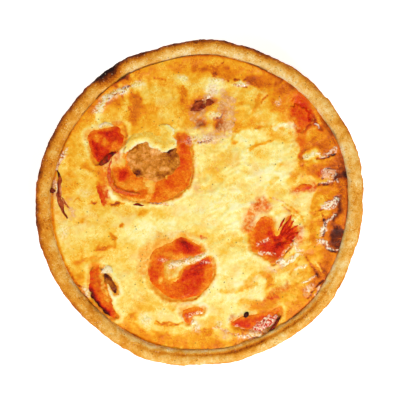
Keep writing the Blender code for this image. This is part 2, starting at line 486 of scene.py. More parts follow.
def puck(columns):
    """A closed disc with a radius and a depth of one unit, whose top is a net of even cells."""
    disc = bmesh.new()
    bmesh.ops.create_grid(disc, x_segments=columns, y_segments=columns, size=1)
    for vertex in disc.verts:
        u, v = vertex.co.x, vertex.co.y
        if abs(u) > abs(v):
            turn = math.pi / 4 * v / u
            vertex.co = (u * math.cos(turn), u * math.sin(turn), 0)
        elif v:
            turn = math.pi / 4 * u / v
            vertex.co = (v * math.sin(turn), v * math.cos(turn), 0)
    edge = [side for side in disc.edges if side.is_boundary]
    for side in edge:
        side.smooth = False
    wall = bmesh.ops.extrude_edge_only(disc, edges=edge)["geom"]
    bmesh.ops.translate(disc, verts=[part for part in wall if isinstance(part, bmesh.types.BMVert)], vec=(0, 0, -1))
    bmesh.ops.holes_fill(disc, edges=[side for side in disc.edges if side.is_boundary])
    bmesh.ops.recalc_face_normals(disc, faces=disc.faces)
    return disc


CUSTARD_TONES = (
    (0.0, (255, 246, 186)),
    (0.2, (253, 231, 134)),
    (0.4, (248, 198, 68)),
    (0.55, (242, 166, 20)),
    (0.7, (232, 132, 0)),
    (0.85, (210, 98, 0)),
    (1.0, (164, 66, 2)),
    (1.15, (104, 34, 4)),
    (1.35, (48, 14, 6)),
)
TOMATO_TONES = (
    (0.0, (250, 196, 84)),
    (0.2, (244, 150, 28)),
    (0.4, (234, 106, 0)),
    (0.55, (222, 74, 0)),
    (0.7, (214, 40, 0)),
    (0.85, (176, 16, 0)),
    (1.0, (108, 10, 4)),
    (1.2, (42, 6, 4)),
)


def custard_finish():
    custard = Finish("baked_custard")
    glaze = custard.noted("glaze")
    fine = custard.grain(0.55, 2)
    middle = custard.grain(1.5, 2)
    coarse = custard.grain(3.8, 3)
    crinkled = custard.grain(5.5, 2).step(-0.05, 0.12)
    uneven = fine * (crinkled * 0.55 + 0.18) + middle * 0.34 + coarse * 0.3
    colour = custard.tones(custard.noted("browning") + uneven, CUSTARD_TONES)
    tomato = custard.tones(custard.noted("ripeness") + uneven * 0.8, TOMATO_TONES)
    stain = custard.noted("stain")
    colour = custard.mix((stain + stain * middle * 2).held(), colour, tomato)
    pink = custard.tones(0.95 + middle * 1.2 + fine - custard.noted("browning") * 0.75, ((0.0, (186, 100, 34)), (0.5, (228, 162, 96)), (1.0, (250, 216, 166))))
    pinkness = custard.noted("pink")
    spread = (pinkness + coarse * 1.4 + middle * 0.6 - 0.26).step(0.0, 0.5) * pinkness.step(0.0, 0.2)
    colour = custard.mix(spread, colour, pink)
    peach = custard.grain(8.0, 2).step(0.0, 0.2) * (1 - custard.noted("browning").step(0.3, 0.6)) * (1 - stain).held()
    colour = custard.mix(peach * 0.35, colour, (248, 204, 134))
    pores = custard.dots(2.4, 0.46) * custard.grain(6.0).step(0.0, 0.1)
    colour = custard.mix(pores * 0.75, colour, (134, 84, 26))
    crackled = custard.grain(0.95, 2)
    # Painted highlight: glossy spots are whitened in a crackle pattern, as well as made shinier.
    colour = custard.mix((glaze * (0.6 + crackled * 6)).held(), colour, (255, 239, 206))
    # Painted shade: the crackle's valleys in those spots are darkened.
    colour = custard.mix((glaze * crackled * -3.2).held(0, 0.7), colour, (150, 72, 20))
    relief = fine * 0.16 + middle * 0.24 + coarse * 0.3 - pores * 0.15 + glaze * crackled * 0.6
    return custard.done(
        Base_Color=colour,
        Roughness=(0.42 - glaze * 0.34 + fine * 0.25).held(0.08, 1),
        Normal=custard.bumpy(relief),
        Coat_Weight=(0.02 + glaze * 0.55).held(),
        Coat_Roughness=0.1,
        Subsurface_Weight=0.12,
        Subsurface_Radius=(1.0, 0.6, 0.25),
        Subsurface_Scale=0.0014,
        Specular_IOR_Level=0.16,
    )


BAKED_CUSTARD = custard_finish()
baked_custard = piece("custard", puck(COLUMNS), BAKED_CUSTARD, "custard", "filling")
unit = places(baked_custard.data) * MM
is_under = unit[:, 2] < -0.5
angle = np.arctan2(unit[:, 1], unit[:, 0])
share = np.hypot(unit[:, 0], unit[:, 1])
edge = inner_foot + (RIM_RADIUS - 2 * RIM_HALF_WIDTH - inner_foot) * 0.93 + 0.2
top_radius = share * (edge + rim_wave(angle) * 0.93)
at = np.stack((top_radius * np.cos(angle), top_radius * np.sin(angle), np.zeros(len(share))), 1)
drift = np.stack((ripples(at, 5, 1), ripples(at, 5, 2), np.zeros(len(at))), 1)
drift += 0.7 * np.stack((ripples(at, 1.9, 3), ripples(at, 1.9, 4), np.zeros(len(at))), 1)
wavy = at + drift * 1.5

browning = dabbed(
    wavy + drift * 1.5, 0.36,
    # along the rim, clockwise from the left
    (((-69, 10), (-66, 28), (-58, 42), (-47, 54)), 9, 0.48),
    (((-46, 58), (-30, 63), (-8, 67), (14, 68), (32, 63)), 13, 0.53),
    (((-50, 57.5), (-43, 60), (-35, 62)), 3.5, 0.92),
    (((36, 60), (50, 50), (60, 38), (67, 24)), 13, 0.72),
    (((68, 26), (71, 12), (71, -4)), 11, 0.75),
    (((66, 6), (68, -8), (66, -24)), 10, 0.8),
    (((61, -28), (54, -42), (44, -52)), 13, 0.6),
    (((36, -62), (20, -67), (-2, -68), (-20, -67), (-36, -60)), 7, 0.54),
    (((-44, -55), (-58, -40), (-67, -24)), 7, 0.5),
    (((62, -34), (52, -50), (40, -60), (24, -68), (0, -71.5), (-24, -67), (-42, -57), (-56, -45)), 3, 0.6),
    (((-66, -20), (-68, -6), (-66, 6)), 8, 0.3),
    # the middle and the lower left, where it is palest
    ((22, 22), (22, 16, 20), 0.16),
    ((40, 14), (13, 16, 0), 0.14),
    ((6, -4), (32, 9, 5), 0.13),
    ((-32, -10), (20, 7, 10), 0.26),
    ((16, -40), (17, 15, 20), 0.17),
    ((14, -48), (12, 6, 0), 0.12),
    ((-40, -46), (12, 12, -35), 0.27),
    ((-22, -12), (12, 4, 10), 0.06),
    ((-34, -30), (8, 14, 0), 0.24),
    ((-20, -56), (12, 4, 0), 0.2),
    ((-58, -14), (10, 8, 0), 0.24),
    ((52, -6), (4, 10, -8), 0.12),
    ((46, -34), (8, 3, 25), 0.3),
)
browning_dabs = (
    # gold and pale patches between the pieces
    ((39, 35), (7, 5, 0), 0.44), ((48, 12), (4, 5, 0), 0.46), ((37, 4), (8, 4, -20), 0.34), ((45, -5), (4, 4, 0), 0.52),
    ((36, -4), (4, 3, 0), 0.38), ((7, -5), (6, 4, 0), 0.25), ((13, 16), (5, 6, 0), 0.42), ((20, 18), (5, 4, 0), 0.27),
    ((30, 24), (5, 3, 20), 0.3), ((19, 41), (4, 4, 0), 0.58), ((-11, 47), (4, 5, 0), 0.4), ((-40, 41), (4, 3, 0), 0.54),
    ((-28, -16), (6, 4, 0), 0.06), ((-63, -29), (4, 5, -30), 0.34), ((-68, 18), (4, 5, -20), 0.32),
    ((-15, -63), (5, 3, 0), 0.34), ((42, -29), (5, 3, 10), 0.5), ((54, -17), (3, 3, 0), 0.6), ((53, -11), (2.6, 4, 0), 0.36), ((61, -10), (4, 4, 0), 0.72), ((-8, 31), (5, 3, -10), 0.76),
    # the ham showing through the skin at the top
    ((4, 47), (11, 7, 10), 0.6), ((5, 38), (11, 5, 0), 0.56), ((-5, 43), (4, 6, 0), 0.58), ((24, 42), (5, 7, 0), 0.5),
    ((0, 48), (4.6, 2.8, 20), 1.06), ((5.5, 50), (2.6, 1.8, 20), 0.98), ((4.5, 45), (3, 1.4, 0), 0.74),
    ((0.5, 38.5), (2.4, 2.2, 0), 0.96), ((9.4, 38), (2.4, 3, -20), 0.98), ((12, 43.5), (1.4, 4, 0), 0.76),
    ((6.4, 42.6), (2.6, 1.8, 0), 0.24), ((4.6, 35), (2.4, 2.6, 0), 0.3), ((0, 33), (3, 1.6, 0), 0.3),
    ((-34, 36), (5, 4, 0), 0.47), ((-25, 33), (7, 3, 10), 0.44), ((-64, 4), (3.6, 8, 0), 0.5),
    (((52, 18), (58, 15.5), (66, 18)), 6, 0.84), ((44, -23), (4, 4, 0), 0.5), ((54, -24), (4, 5, 0), 0.62),
    (((34, -42), (36, -52)), 5, 0.56), ((5, -62), (6, 2, 0), 0.3), ((20, -62), (6, 3, 0), 0.66),
    # the blister and the gold beside it
    ((-42, 48.5), (5, 3.4, 30), 0.66), ((-41, 44.5), (6, 2.4, 0), 0.44), ((-51, 47), (3, 6, -30), 0.6),
    (((-50, 40), (-49, 46), (-45.5, 51), (-40, 54.8), (-34, 56.5)), 2.6, 0.14),
    (((-34, 56), (-34.5, 51), (-37, 47), (-39, 43)), 2.0, 0.3),
    (((-44.5, 50.8), (-41, 53.2), (-37.5, 54.6)), 0.8, 1.0),
    (((-31, 52), (-30, 47), (-31.5, 42)), 6, 0.74), ((-24, 45), (5, 6, 0), 0.5),
    (((-28, 40), (-20, 38.5), (-12, 40)), 5, 0.48), ((-30, 57), (4, 2.4, 0), 0.26),
    (((-9, 56), (-7.5, 50)), 4.4, 0.66), (((-14, 53), (-13, 45), (-11, 37)), 3.4, 0.34),
    (((-22, 56), (-20, 48)), 3, 0.34), (((-27, 60), (-26, 50)), 3, 0.34), ((-15, 62), (4, 2.4, 0), 0.36), ((-9, 60), (3.2, 2.6, 0), 0.16),
    # below the left chunk
    (((-53, 19), (-46, 14), (-47, 9)), 5, 0.6), ((-38, 26), (2.6, 4.4, -25), 0.26),
    ((-60, 27), (4, 4, 0), 0.5), ((-55, 31), (3, 4, 0), 0.34), (((-58, 18), (-50, 17)), 2.4, 0.62),
    ((-62, 11), (3, 4, 0), 0.5), ((-60, 3), (5, 3, 0), 0.3), ((-43, 3), (2.4, 1.5, -40), 0.02),
    (((-44, -1), (-38, 0.2)), 1.5, 0.7), ((-28, -4), (3, 2, 0), 0.56), ((-53, 0), (1.6, 0.8, 20), 0.62),
    ((-59, -8), (3, 1.9, 0), 0.62), ((-38, -11), (1.3, 1.1, 0), 0.72), ((-37, -4), (4, 2, 0), 0.38),
    (((-43, -17), (-43, -21), (-46, -22.5), (-49.5, -21.5)), 2.4, 0.64), ((-46, -19), (3, 2, 0), 0.46),
    (((-60, -29.5), (-55, -27.5), (-50, -28.5)), 3, 0.56), ((-62, -25), (4, 3, 0), 0.36),
    ((-30, -52), (4, 3, 0), 0.42), ((-33, -56), (3, 2, 0), 0.6), ((-25, -52), (3, 2, 0), 0.44), ((2, -52), (7, 2.6, 0), 0.1),
    (((-22, -58), (-15, -59), (-8, -58.8)), 0.9, 0.72), (((-30, -63), (-24, -66), (-17, -66)), 3, 0.62),
    ((-22, -66.5), (6, 2, 0), 0.58), ((3, -63.5), (3, 2.6, 20), 0.6), ((-3, -66), (4, 3, 0), 0.56),
    ((12, -65), (5, 2, 0), 0.36), ((-40, -62), (5, 2, -30), 0.5),
    # the top
    (((-2, 65.5), (5, 65), (13, 65.5)), 3, 0.74), ((7, 63.2), (1.4, 1.0, 0), 0.96),
    ((10.5, 67.7), (0.5, 0.5, 0), 1.0), ((14, 60.3), (0.9, 0.7, 0), 0.95), ((18, 60), (0.9, 0.6, 0), 0.95),
    ((21.3, 60.2), (0.6, 0.6, 0), 0.95), ((7, 57.5), (5, 3.4, 0), 0.12), ((20, 58), (4, 1.4, 0), 0.2),
    (((24, 60), (33, 58.5)), 4.6, 0.84), ((21, 54), (6, 3, 0), 0.42), ((14, 63), (6, 2, -5), 0.66),
    (((29.5, 51.5), (26.5, 46)), 2.6, 0.78), (((36, 55.8), (39.5, 59.5)), 2, 0.9),
    ((33, 48), (5, 4, 0), 0.48), ((24, 50), (3, 4, 0), 0.4), ((33, 55), (4, 2, 0), 0.62),
    ((29, 37.6), (2.4, 1.5, 0), 0.66), ((34.5, 37.6), (2.6, 1.4, -10), 0.6), ((31, 42), (7, 2.4, 0), 0.42),
    (((24, 26.8), (29, 29), (36, 30.8)), 1.9, 0.58), (((17, 31), (18, 36)), 2.6, 0.58), ((9, 33), (2, 2, 0), 0.52),
    ((19, 48), (3, 3, 0), 0.5), ((22, 34), (5, 2, 10), 0.14), ((7, 26), (6, 3, 0), 0.3), ((14, 21), (5, 6, 0), 0.45),
    ((1, 22), (1.6, 7, 0), 0.12), ((9, 14), (6, 4, 0), 0.36), (((-2, 16), (-1, 8)), 4, 0.42),
    ((-62, -5), (4, 6, 0), 0.32), ((-45.5, -44), (2, 5, 20), 0.2),
    # the upper right
    (((37, 49), (44, 47), (44, 42)), 7, 0.64), (((37, 37), (46, 37.6)), 2.4, 0.14),
    (((51, 36), (49.5, 31), (52, 28)), 5, 0.72), (((60, 46), (64, 34)), 5, 0.8), ((54, 33), (3, 2, 0), 0.5),
    (((52, 27.5), (49, 24), (50, 20.5)), 2.8, 0.8), ((57, 29), (5, 2.4, 20), 0.74), ((46, 27), (2, 2, 0), 0.3),
    (((51, 19), (57, 17)), 3.6, 0.68), ((38, 18.5), (3, 1.2, 30), 0.4), (((33, 7), (35, 11), (38, 11.5)), 1.8, 0.44),
    ((62, 20), (4, 2.6, 10), 0.76), ((47, 20.5), (2, 1.6, 0), 0.36), ((62, 6), (4, 3, 0), 0.66),
    (((68, 22), (71, 17)), 4, 0.88), (((66.5, 12.6), (70, 13.8)), 4.0, 1.12), (((58, 9), (63, 10.8), (68, 10)), 1.0, 0.9),
    (((59, 8), (57, 2), (55.5, -10), (56, -18)), 3.4, 0.64), ((64, 4), (3, 1.6, 0), 0.62),
    (((67.5, 3), (68, -3), (66, -7)), 2.4, 1.08), (((73, 4), (73.4, -6)), 1.8, 0.8), (((58.5, -3), (60, -1)), 1.4, 0.8),
    (((66.5, -13.5), (66.5, -20.5)), 5.2, 1.12), (((63.5, -22), (69, -24)), 3, 0.84), (((64, -12), (62, -16)), 2, 0.84),
    (((60, -18), (60, -24), (57, -27)), 5, 0.56), (((62, -27), (58, -40)), 5, 0.74), (((69, -24), (63, -38)), 1.8, 0.5),
    (((57.5, -30), (59.8, -34)), 2.2, 0.94), (((56.5, -28.5), (58.5, -33.5)), 0.8, 0.3), ((56, -38.5), (3, 2, 20), 0.72),
    # the lower right
    (((16, -42.8), (22, -40), (28, -34.5)), 2.4, 0.42), (((10, -43), (18, -42.6), (27, -40)), 1.8, 0.46),
    (((31, -35), (34.5, -37), (34, -40)), 3, 0.66), (((20, -48), (27, -48)), 3, 0.44), ((31, -51), (6, 3.4, 10), 0.76),
    ((44, -37), (4, 2.6, 30), 0.26), (((45, -45), (52, -38)), 4, 0.46), ((42, -31.5), (5, 1.6, 0), 0.42),
    ((52, -46), (3, 2, 40), 0.56), ((47, -50), (3, 2, 40), 0.66), ((24, -17), (2.4, 4, 0), 0.56), ((35, -44), (2, 2, 0), 0.3), ((10, -36), (6, 5, 0), 0.2),
)
for where, size, value in browning_dabs:
    share_of_dab = touch(wavy, where, size)
    browning = browning * (1 - share_of_dab) + value * share_of_dab
browning += 0.12 * ripples(at, 8, 6) + 0.1 * ripples(at, 3.4, 7)

stain = dabbed(
    wavy, 0,
    # around the upper right chunk
    (((48, 50), (51, 44), (50, 38)), 10, 0.95), (((41, 48), (44, 43)), 7, 0.6), (((51, 36), (49, 30)), 6, 0.7),
    (((44, -32), (50, -34)), 5, 0.25), (((34, -33), (38, -32)), 4, 0.4), (((22, -40), (30, -36)), 2.4, 0.3),
    (((50, 27), (49, 23)), 3, 0.6), ((58, 36), (4, 2.4, -40), 0.5),
    # around the right bit and the lower right
    (((47, 6), (55, 8)), 5, 0.8), (((46, 14), (55, 14)), 3.4, 0.45), ((59, 14.5), (2.4, 2.4, 0), 0.7),
    (((43, -40.5), (38, -43.5), (33, -46.5)), 3.2, 0.75), (((31, -47.5), (38, -46.6)), 2, 0.9),
    (((27, -50), (37, -50)), 5, 0.45), ((33.5, -36), (2.4, 2, 0), 0.5), (((16, -57), (24, -60)), 4, 0.5),
    # around the slices
    (((23.5, -12), (25, -5), (30, 0)), 5.6, 0.85), ((31, -1.5), (3, 4, 0), 0.85), ((49, -12.5), (3.4, 1.6, 10), 0.6),
    ((48, -17), (3.4, 4, 0), 0.8), ((-15, -33), (3.4, 4, 0), 0.6), ((-40.5, 23), (2.4, 5, -10), 0.8), ((-8, 31), (4, 2.4, -10), 0.5),
    (((-27, -33), (-25.5, -25), (-19, -19.5), (-11, -18.5)), 7, 1.0), ((-28, -47), (3, 3, 0), 0.22),
    (((-18, -16), (-8, -15), (0, -17)), 2, 0.3), ((1.5, -16.8), (1.4, 1.1, 0), 0.8), ((-8, -49), (5, 1, 0), 0.4),
    (((-48.5, 8), (-46.5, 5), (-46, 0.5)), 3.0, 0.95), (((-46.5, 20), (-46.5, 10)), 4.4, 0.75), ((-39.5, 12), (2.4, 4, 0), 0.5), ((-40, 39.8), (3.6, 1.3, 0), 0.6),
    (((-55, 34), (-51, 36.5), (-45, 38)), 2, 0.3), ((-31, 46.5), (3, 4, 0), 0.3), (((-4, 44), (-6, 36)), 3, 0.3),
    ((-50, -28), (3, 1.6, 0), 0.3), (((-72, 2), (-70, -4)), 4, 0.3), ((-66, 5), (2, 5, 0), 0.25),
)
ripeness = dabbed(
    wavy, 0.24,
    (((48, 50), (51, 44), (50, 38)), 8, 0.52), (((49.5, 48), (51.5, 42), (52, 38)), 4, 0.64),
    (((42, 49), (43, 42)), 5, 0.3), (((52, 46), (55, 40)), 2.4, 0.68), (((50, 34), (49, 30)), 4, 0.4),
    (((50, 27), (49, 23)), 3, 0.4),
    (((55, 40), (59, 36)), 2.8, 0.9), (((47, 6.4), (55, 7.6)), 3, 0.48), ((59, 14.5), (2.4, 2.4, 0), 0.55),
    (((43, -40.5), (38, -43.5), (33, -46.5)), 3.2, 0.4), (((31, -47.5), (38, -46.6)), 1.6, 0.55),
    ((49, -12.5), (3.4, 1.6, 10), 0.6), ((48, -17), (3.4, 4, 0), 0.4), ((-15, -33), (3.4, 4, 0), 0.2), ((-40.5, 23), (2.4, 5, -10), 0.38), ((-8, 31), (4, 2.4, -10), 0.5), (((-48.5, 8), (-46.5, 5), (-46, 0.5)), 2.6, 0.54), ((1.5, -16.8), (1.4, 1.1, 0), 0.6),
    ((-40, 39.8), (3.6, 1.3, 0), 0.5), (((16, -57), (24, -60)), 4, 0.5), ((-8, -49), (5, 1, 0), 0.36),
    (((-27.5, -33), (-26, -25), (-20, -19.5), (-11, -18)), 6, 0.1), (((24, -12), (25, -5), (30, 0)), 6, 0.32), ((31, -1.5), (3, 4, 0), 0.4),
    (((-46.5, 20), (-46.5, 10)), 4.4, 0.34),
)
pink = dabbed(
    wavy, 0,
    ((5, 50), (8, 5, -10), 0.56), (((7, 54), (13, 50), (15, 43), (13, 36), (7, 32)), 7, 0.6), ((5, 44), (6, 5, 0), 0.5),
    ((1, 36), (6, 5, 0), 0.5), ((-3, 42), (4, 7, 0), 0.44), ((6, 32), (6, 3, 0), 0.5), ((-12, 56), (3, 2, 0), 0.3), (((40, -32), (34, -32)), 3, 0.4), ((42, -29), (5, 3, 10), 0.45), ((42, -5), (3, 3, 0), 0.45),
    (((-55, -42), (-52, -47)), 2, 0.5), (((-50, -55), (-45, -57)), 1.6, 0.7), ((-30, -46), (3, 3, 0), 0.3),
    ((-70.5, 3), (2, 6, 0), 0.4), ((62, -21), (4, 2, 0), 0.4), ((28, -62), (9, 2.4, 20), 0.5), ((13, -64.5), (5, 3, 0), 0.5),
    (((-2, 17), (-1, 6)), 4, 0.45), ((-63, -4), (4, 8, 0), 0.4), ((8, 20), (5, 6, 0), 0.25),
)
# Glossy, wrinkled spots on the custard, whose whitening is a painted highlight.
glaze = dabbed(
    wavy, 0,
    (((-50, 45), (-46, 50.6), (-41, 54.2), (-36, 56)), 3.2, 0.75), ((-30, 57.6), (3, 1.6, 10), 0.6),
    (((-14, -30.6), (-8, -29), (-2, -28), (2.4, -26)), 2.8, 0.8), ((-1, 30.4), (6, 2, 5), 0.5),
    (((-71, 16), (-68, 22), (-66, 26)), 2, 0.7), ((-71.5, 8), (1.4, 3, 0), 0.6), ((-9, 61), (2.4, 1.2, 0), 0.5),
    ((8, 60), (3.6, 1.6, 0), 0.6), ((6, 56), (4, 1.8, 0), 0.5), ((20, 57.8), (3, 0.9, 0), 0.8), ((5, 31), (5, 1.4, 5), 0.55),
    ((8, 42.5), (2.4, 2, 0), 0.5), ((3.5, 52.5), (2.4, 1.2, 30), 0.5), ((15.5, 34.5), (1.6, 1.2, 0), 0.4),
    (((52, 22.5), (58, 23.5), (66, 25.6)), 1.7, 0.6), (((55.5, 38.8), (58, 37.2)), 0.8, 1.2), ((63, 14.5), (2.6, 1.6, 10), 0.7),
    (((59, 9.7), (63, 11.4), (67, 11)), 1.0, 0.7), (((60, -1.5), (64, -1), (67, 2)), 2.2, 0.95), ((74, 12), (1, 2.4, 0), 0.5),
    (((66, -5), (63, -8.5), (60.4, -13), (60, -15.5)), 1.4, 0.85), (((58, -19), (62, -20.5)), 2.2, 0.95),
    (((62, -22.6), (69, -22.8)), 0.8, 0.95), (((45, -19), (49, -24)), 3.2, 0.7),
    (((51, -38.5), (56, -35)), 1.0, 0.9), (((46, -33.6), (52, -30.6)), 1.0, 0.6), ((54, -42), (3, 1.4, 40), 0.5),
    (((57, -45), (60, -42)), 1.0, 0.8), (((38, -28.6), (44, -27.6)), 2.4, 0.7), (((36, 2.4), (42, 0.5)), 0.7, 0.5),
    ((-5, -57.5), (4, 1.6, -30), 0.7), ((-2, -61), (2.4, 2.4, 0), 0.6), ((-26, -57), (2.4, 2.4, 0), 0.55), ((9, -59.5), (2, 1.4, 0), 0.5),
    (((19, -65), (29, -64.6)), 2, 0.7), ((30, -60), (4.6, 2.6, 30), 0.3), (((-24, -0.6), (-14, -0.4)), 1.4, 0.45),
    (((-57, -42.5), (-54, -46)), 2, 0.6), ((-46, -33), (2.6, 1.4, 0), 0.6), ((-67, -14), (2, 4, 0), 0.35), ((-69, -33), (1, 5, 25), 0.2),
    (((6, -61), (16, -63)), 1, 0.4), ((-56, 5), (3, 2, 0), 0.25), ((40, 37), (3, 1, 5), 0.4), ((38, 49), (2, 0.8, 10), 0.4),
)

# Creases in the custard's skin, each dented and painted darker as painted shade: its line, width and depth.
creases = (
    # round the slices
    (((-25, 0.2), (-20, -0.2), (-16, -0.6)), 1.2, 0.5), (((-43.5, -0.6), (-39.6, 0.2)), 1.0, 0.24),
    (((34.6, 2.6), (40.6, 1), (45.5, -2.6), (49.1, -6.7), (50.6, -10)), 0.7, 0.22),
    (((40.6, -1.2), (44.4, -4.2), (46.8, -7.4)), 0.8, 0.3), (((37.4, -30.4), (43, -29.6), (47.4, -26)), 0.9, 0.35),
    # across the top
    (((-1, 29.6), (1.8, 30.2), (4, 29.8), (5.6, 31.4)), 0.9, 0.7), (((-34, 57.4), (-38, 56.4)), 1.0, 0.6),
    (((5.5, 43.6), (7, 41), (10, 41.4), (11, 44)), 0.8, 0.4), (((-22.5, 61), (-17, 60.4)), 0.9, 0.3),
    (((-13.5, 54.5), (-12.5, 47), (-10.5, 38.6)), 1.2, 0.1), (((-38, 53), (-34.5, 46)), 1.1, 0.2),
    (((12, 34), (12.6, 38.6)), 0.9, 0.35), (((17, 58), (22.5, 56.6)), 0.8, 0.5), (((30, 49), (33, 52.4)), 0.9, 0.3),
    # at the right
    (((57, 21.6), (61, 22.4), (66, 24)), 0.9, 0.5), (((60.5, 12.4), (62.6, 16.6), (65.4, 15)), 1.0, 0.5),
    (((56.5, 8.4), (60, 9.2), (64.6, 9.4)), 1.0, 0.4), (((59.6, -5), (61.6, -11), (60.4, -16.4)), 1.0, 0.45),
    (((59.6, -19.6), (62, -22.2), (66, -24.2)), 0.9, 0.3), (((52, -26), (55, -31), (58, -36)), 1.0, 0.3),
    (((48.6, -27), (44, -35)), 0.9, 0.2), (((60.4, -38), (53, -46)), 0.9, 0.3),
    # below
    (((20.5, -63.4), (25, -66), (34, -65.6)), 0.9, 0.3), (((7, -60), (14, -63.6), (19, -64)), 0.9, 0.24),
    (((-22, -59), (-17, -60), (-11, -59.6)), 0.8, 0.3), (((-47, -35.6), (-45.6, -42), (-43.6, -48)), 0.9, 0.5),
    (((-61, -39.6), (-58.5, -41.2)), 1.2, 0.35), (((-57, -45), (-53.5, -49.5)), 0.9, 0.4),
    (((-70.6, -22), (-66, -31), (-61.4, -38)), 0.9, 0.12), (((-53.4, 0.8), (-52, -0.6), (-50.8, 0.6)), 0.8, 0.26),
    (((-62, 0.6), (-60, 2.6), (-58.6, 1.2)), 0.7, 0.2), (((-70.4, 16), (-68.4, 20), (-67, 24)), 0.8, 0.4),
)
broken = 0.35 + 0.65 * smooth(0.6 + 1.4 * ripples(at, 1.1, 14))
crease_depth_and_shade = np.zeros(len(at))
for line, width, depth in creases:
    crease_depth_and_shade = np.maximum(crease_depth_and_shade, depth * touch(at + drift * 0.7, line, width) * broken)
# Painted shade in the creases.
browning += 1.3 * crease_depth_and_shade

shreds = np.zeros(len(at))
chance = np.random.default_rng(5)
for shred in range(190):
    start = np.array((chance.uniform(-5, 62), chance.uniform(-52, 58)))
    length = chance.uniform(4, 12)
    turn = math.radians(chance.normal(24, 22))
    bow = chance.uniform(-1.2, 1.2)
    along = np.array((math.cos(turn), math.sin(turn)))
    bend = start + along * length / 2 + np.array((-along[1], along[0])) * bow
    if np.hypot(*start) > 66:
        continue
    near = np.hypot(at[:, 0] - bend[0], at[:, 1] - bend[1]) < length
    width = chance.uniform(0.8, 1.5)
    height = chance.uniform(0.5, 1.0)
    reach = away_from(at[near], (start, bend, start + along * length)) / width
    shreds[near] = np.maximum(shreds[near], height * np.exp(-(reach**2)))
shreds *= touch(wavy, (28, 8), (38, 52))
browning += 0.06 - 0.22 * shreds

height = custard_level(at) + 0.5 * ripples(at, 9, 8) + 0.34 * ripples(at, 4, 9) + 0.2 * ripples(at, 1.7, 10)
height += 0.45 * shreds + 0.35 * glaze - 0.5 * crease_depth_and_shade
height += 0.9 * touch(wavy, (-42, 49), (6, 4.5, 35)) + 0.7 * touch(at, ((-49, 45), (-45, 50.6), (-39, 54.4), (-34, 55.6)), 3)
height -= 0.5 * smooth((browning - 0.8) / 0.3)
juice = np.zeros(len(at))
for node, corners in OPENINGS.items():
    outline = rounded(np.array(corners) + middle_of(node))
    near = np.hypot(*(at[:, :2] - middle_of(node)).T) < 32
    gap = outside(at[near], outline)
    gap = gap + 0.6 * ripples(at[near], 2.4, 11) + 0.4 * ripples(at[near], 1.1, 12)
    juice[near] = np.maximum(juice[near], smooth((2.6 - gap) / 3.0))
    from_middle = np.arctan2(*(at[near, :2] - middle_of(node)).T[::-1])
    shaded = towards(from_middle, -45, 120) * broken[near]
    browning[near] += 0.7 * shaded * np.exp(-(((gap - 0.2) / 0.5) ** 2))
    browning[near] -= 0.2 * np.exp(-(((gap - 1.9) / 1.0) ** 2))
    height[near] += 0.2 * np.exp(-(((gap - 1.4) / 0.9) ** 2)) - SINK * smooth((0.9 - gap) / 3.0)
ripeness = np.where(stain < 0.4, 0.24 + (ripeness - 0.24) * stain / 0.4, ripeness)
stain = np.maximum(stain, 0.8 * juice * smooth(0.6 + ripples(at, 4, 13)))
rounding = np.clip((top_radius - (edge - 1.4)) / 1.4, 0, 1)
height += smooth((top_radius - (edge - 6)) / 6) * 0.7 * towards(angle, 60, 110) - 0.6 * rounding**3
# The custard's outer edge is darkened along the rim: browning there, and painted shade in the gap below the rim.
browning += (0.26 - 0.18 * towards(angle, 25, 60) - 0.26 * towards(angle, -85, 50)) * smooth(rounding)
at[:, 2] = np.where(is_under, BASE_THICKNESS + GAP, height)
at[is_under, :2] *= (inner_foot - FILLET) / edge
move_to(baked_custard.data, at)
note(baked_custard.data, "browning", browning)
note(baked_custard.data, "stain", stain)
note(baked_custard.data, "ripeness", ripeness)
note(baked_custard.data, "pink", pink)
note(baked_custard.data, "glaze", glaze)


# Tomato slices. Cross-sections of tomato, laid on the custard and half sunk in it. The heat has
# wrinkled them and turned their flesh from red to orange, most of all in the large one at the upper
# left. Each is a shallow dish: a raised ring of flesh round a softer middle.
PIECE_DEPTH = 4.0


def tomato_finish():
    tomato = Finish("roasted_tomato")
    glaze = tomato.noted("glaze")
    fine = tomato.grain(0.6, 2)
    middle = tomato.grain(1.6, 2)
    coarse = tomato.grain(3.6, 3)
    crackled = tomato.grain(0.95, 2)
    tone = tomato.noted("ripeness") + fine * 0.5 + middle * 0.5 + coarse * 0.45
    colour = tomato.tones(tone, TOMATO_TONES)
    browned = tomato.grain(5.0, 3).step(0.0, 0.25)
    colour = tomato.mix(browned * 0.3, colour, (176, 86, 10))
    # Painted highlight: glossy spots are whitened in a crackle pattern.
    colour = tomato.mix((glaze * (0.5 + crackled * 8)).held(), colour, (253, 228, 190))
    return tomato.done(
        Base_Color=colour,
        Roughness=(0.45 - glaze * 0.3 + fine * 0.3).held(0.1, 1),
        Normal=tomato.bumpy(fine * 0.2 + middle * 0.34 + coarse * 0.3 + glaze * crackled * 0.8),
        Coat_Weight=(0.04 + glaze * 0.45).held(),
        Coat_Roughness=0.1,
        Specular_IOR_Level=0.1,
        Subsurface_Weight=0.1,
        Subsurface_Radius=(1.0, 0.3, 0.1),
        Subsurface_Scale=0.0012,
    )


ROASTED_TOMATO = tomato_finish()


stood_for = set()


def stands_for(node):
    """The CAD piece that a new piece stands for, which is the first one made for it."""
    first = node not in stood_for
    stood_for.add(node)
    return [node] if first else []


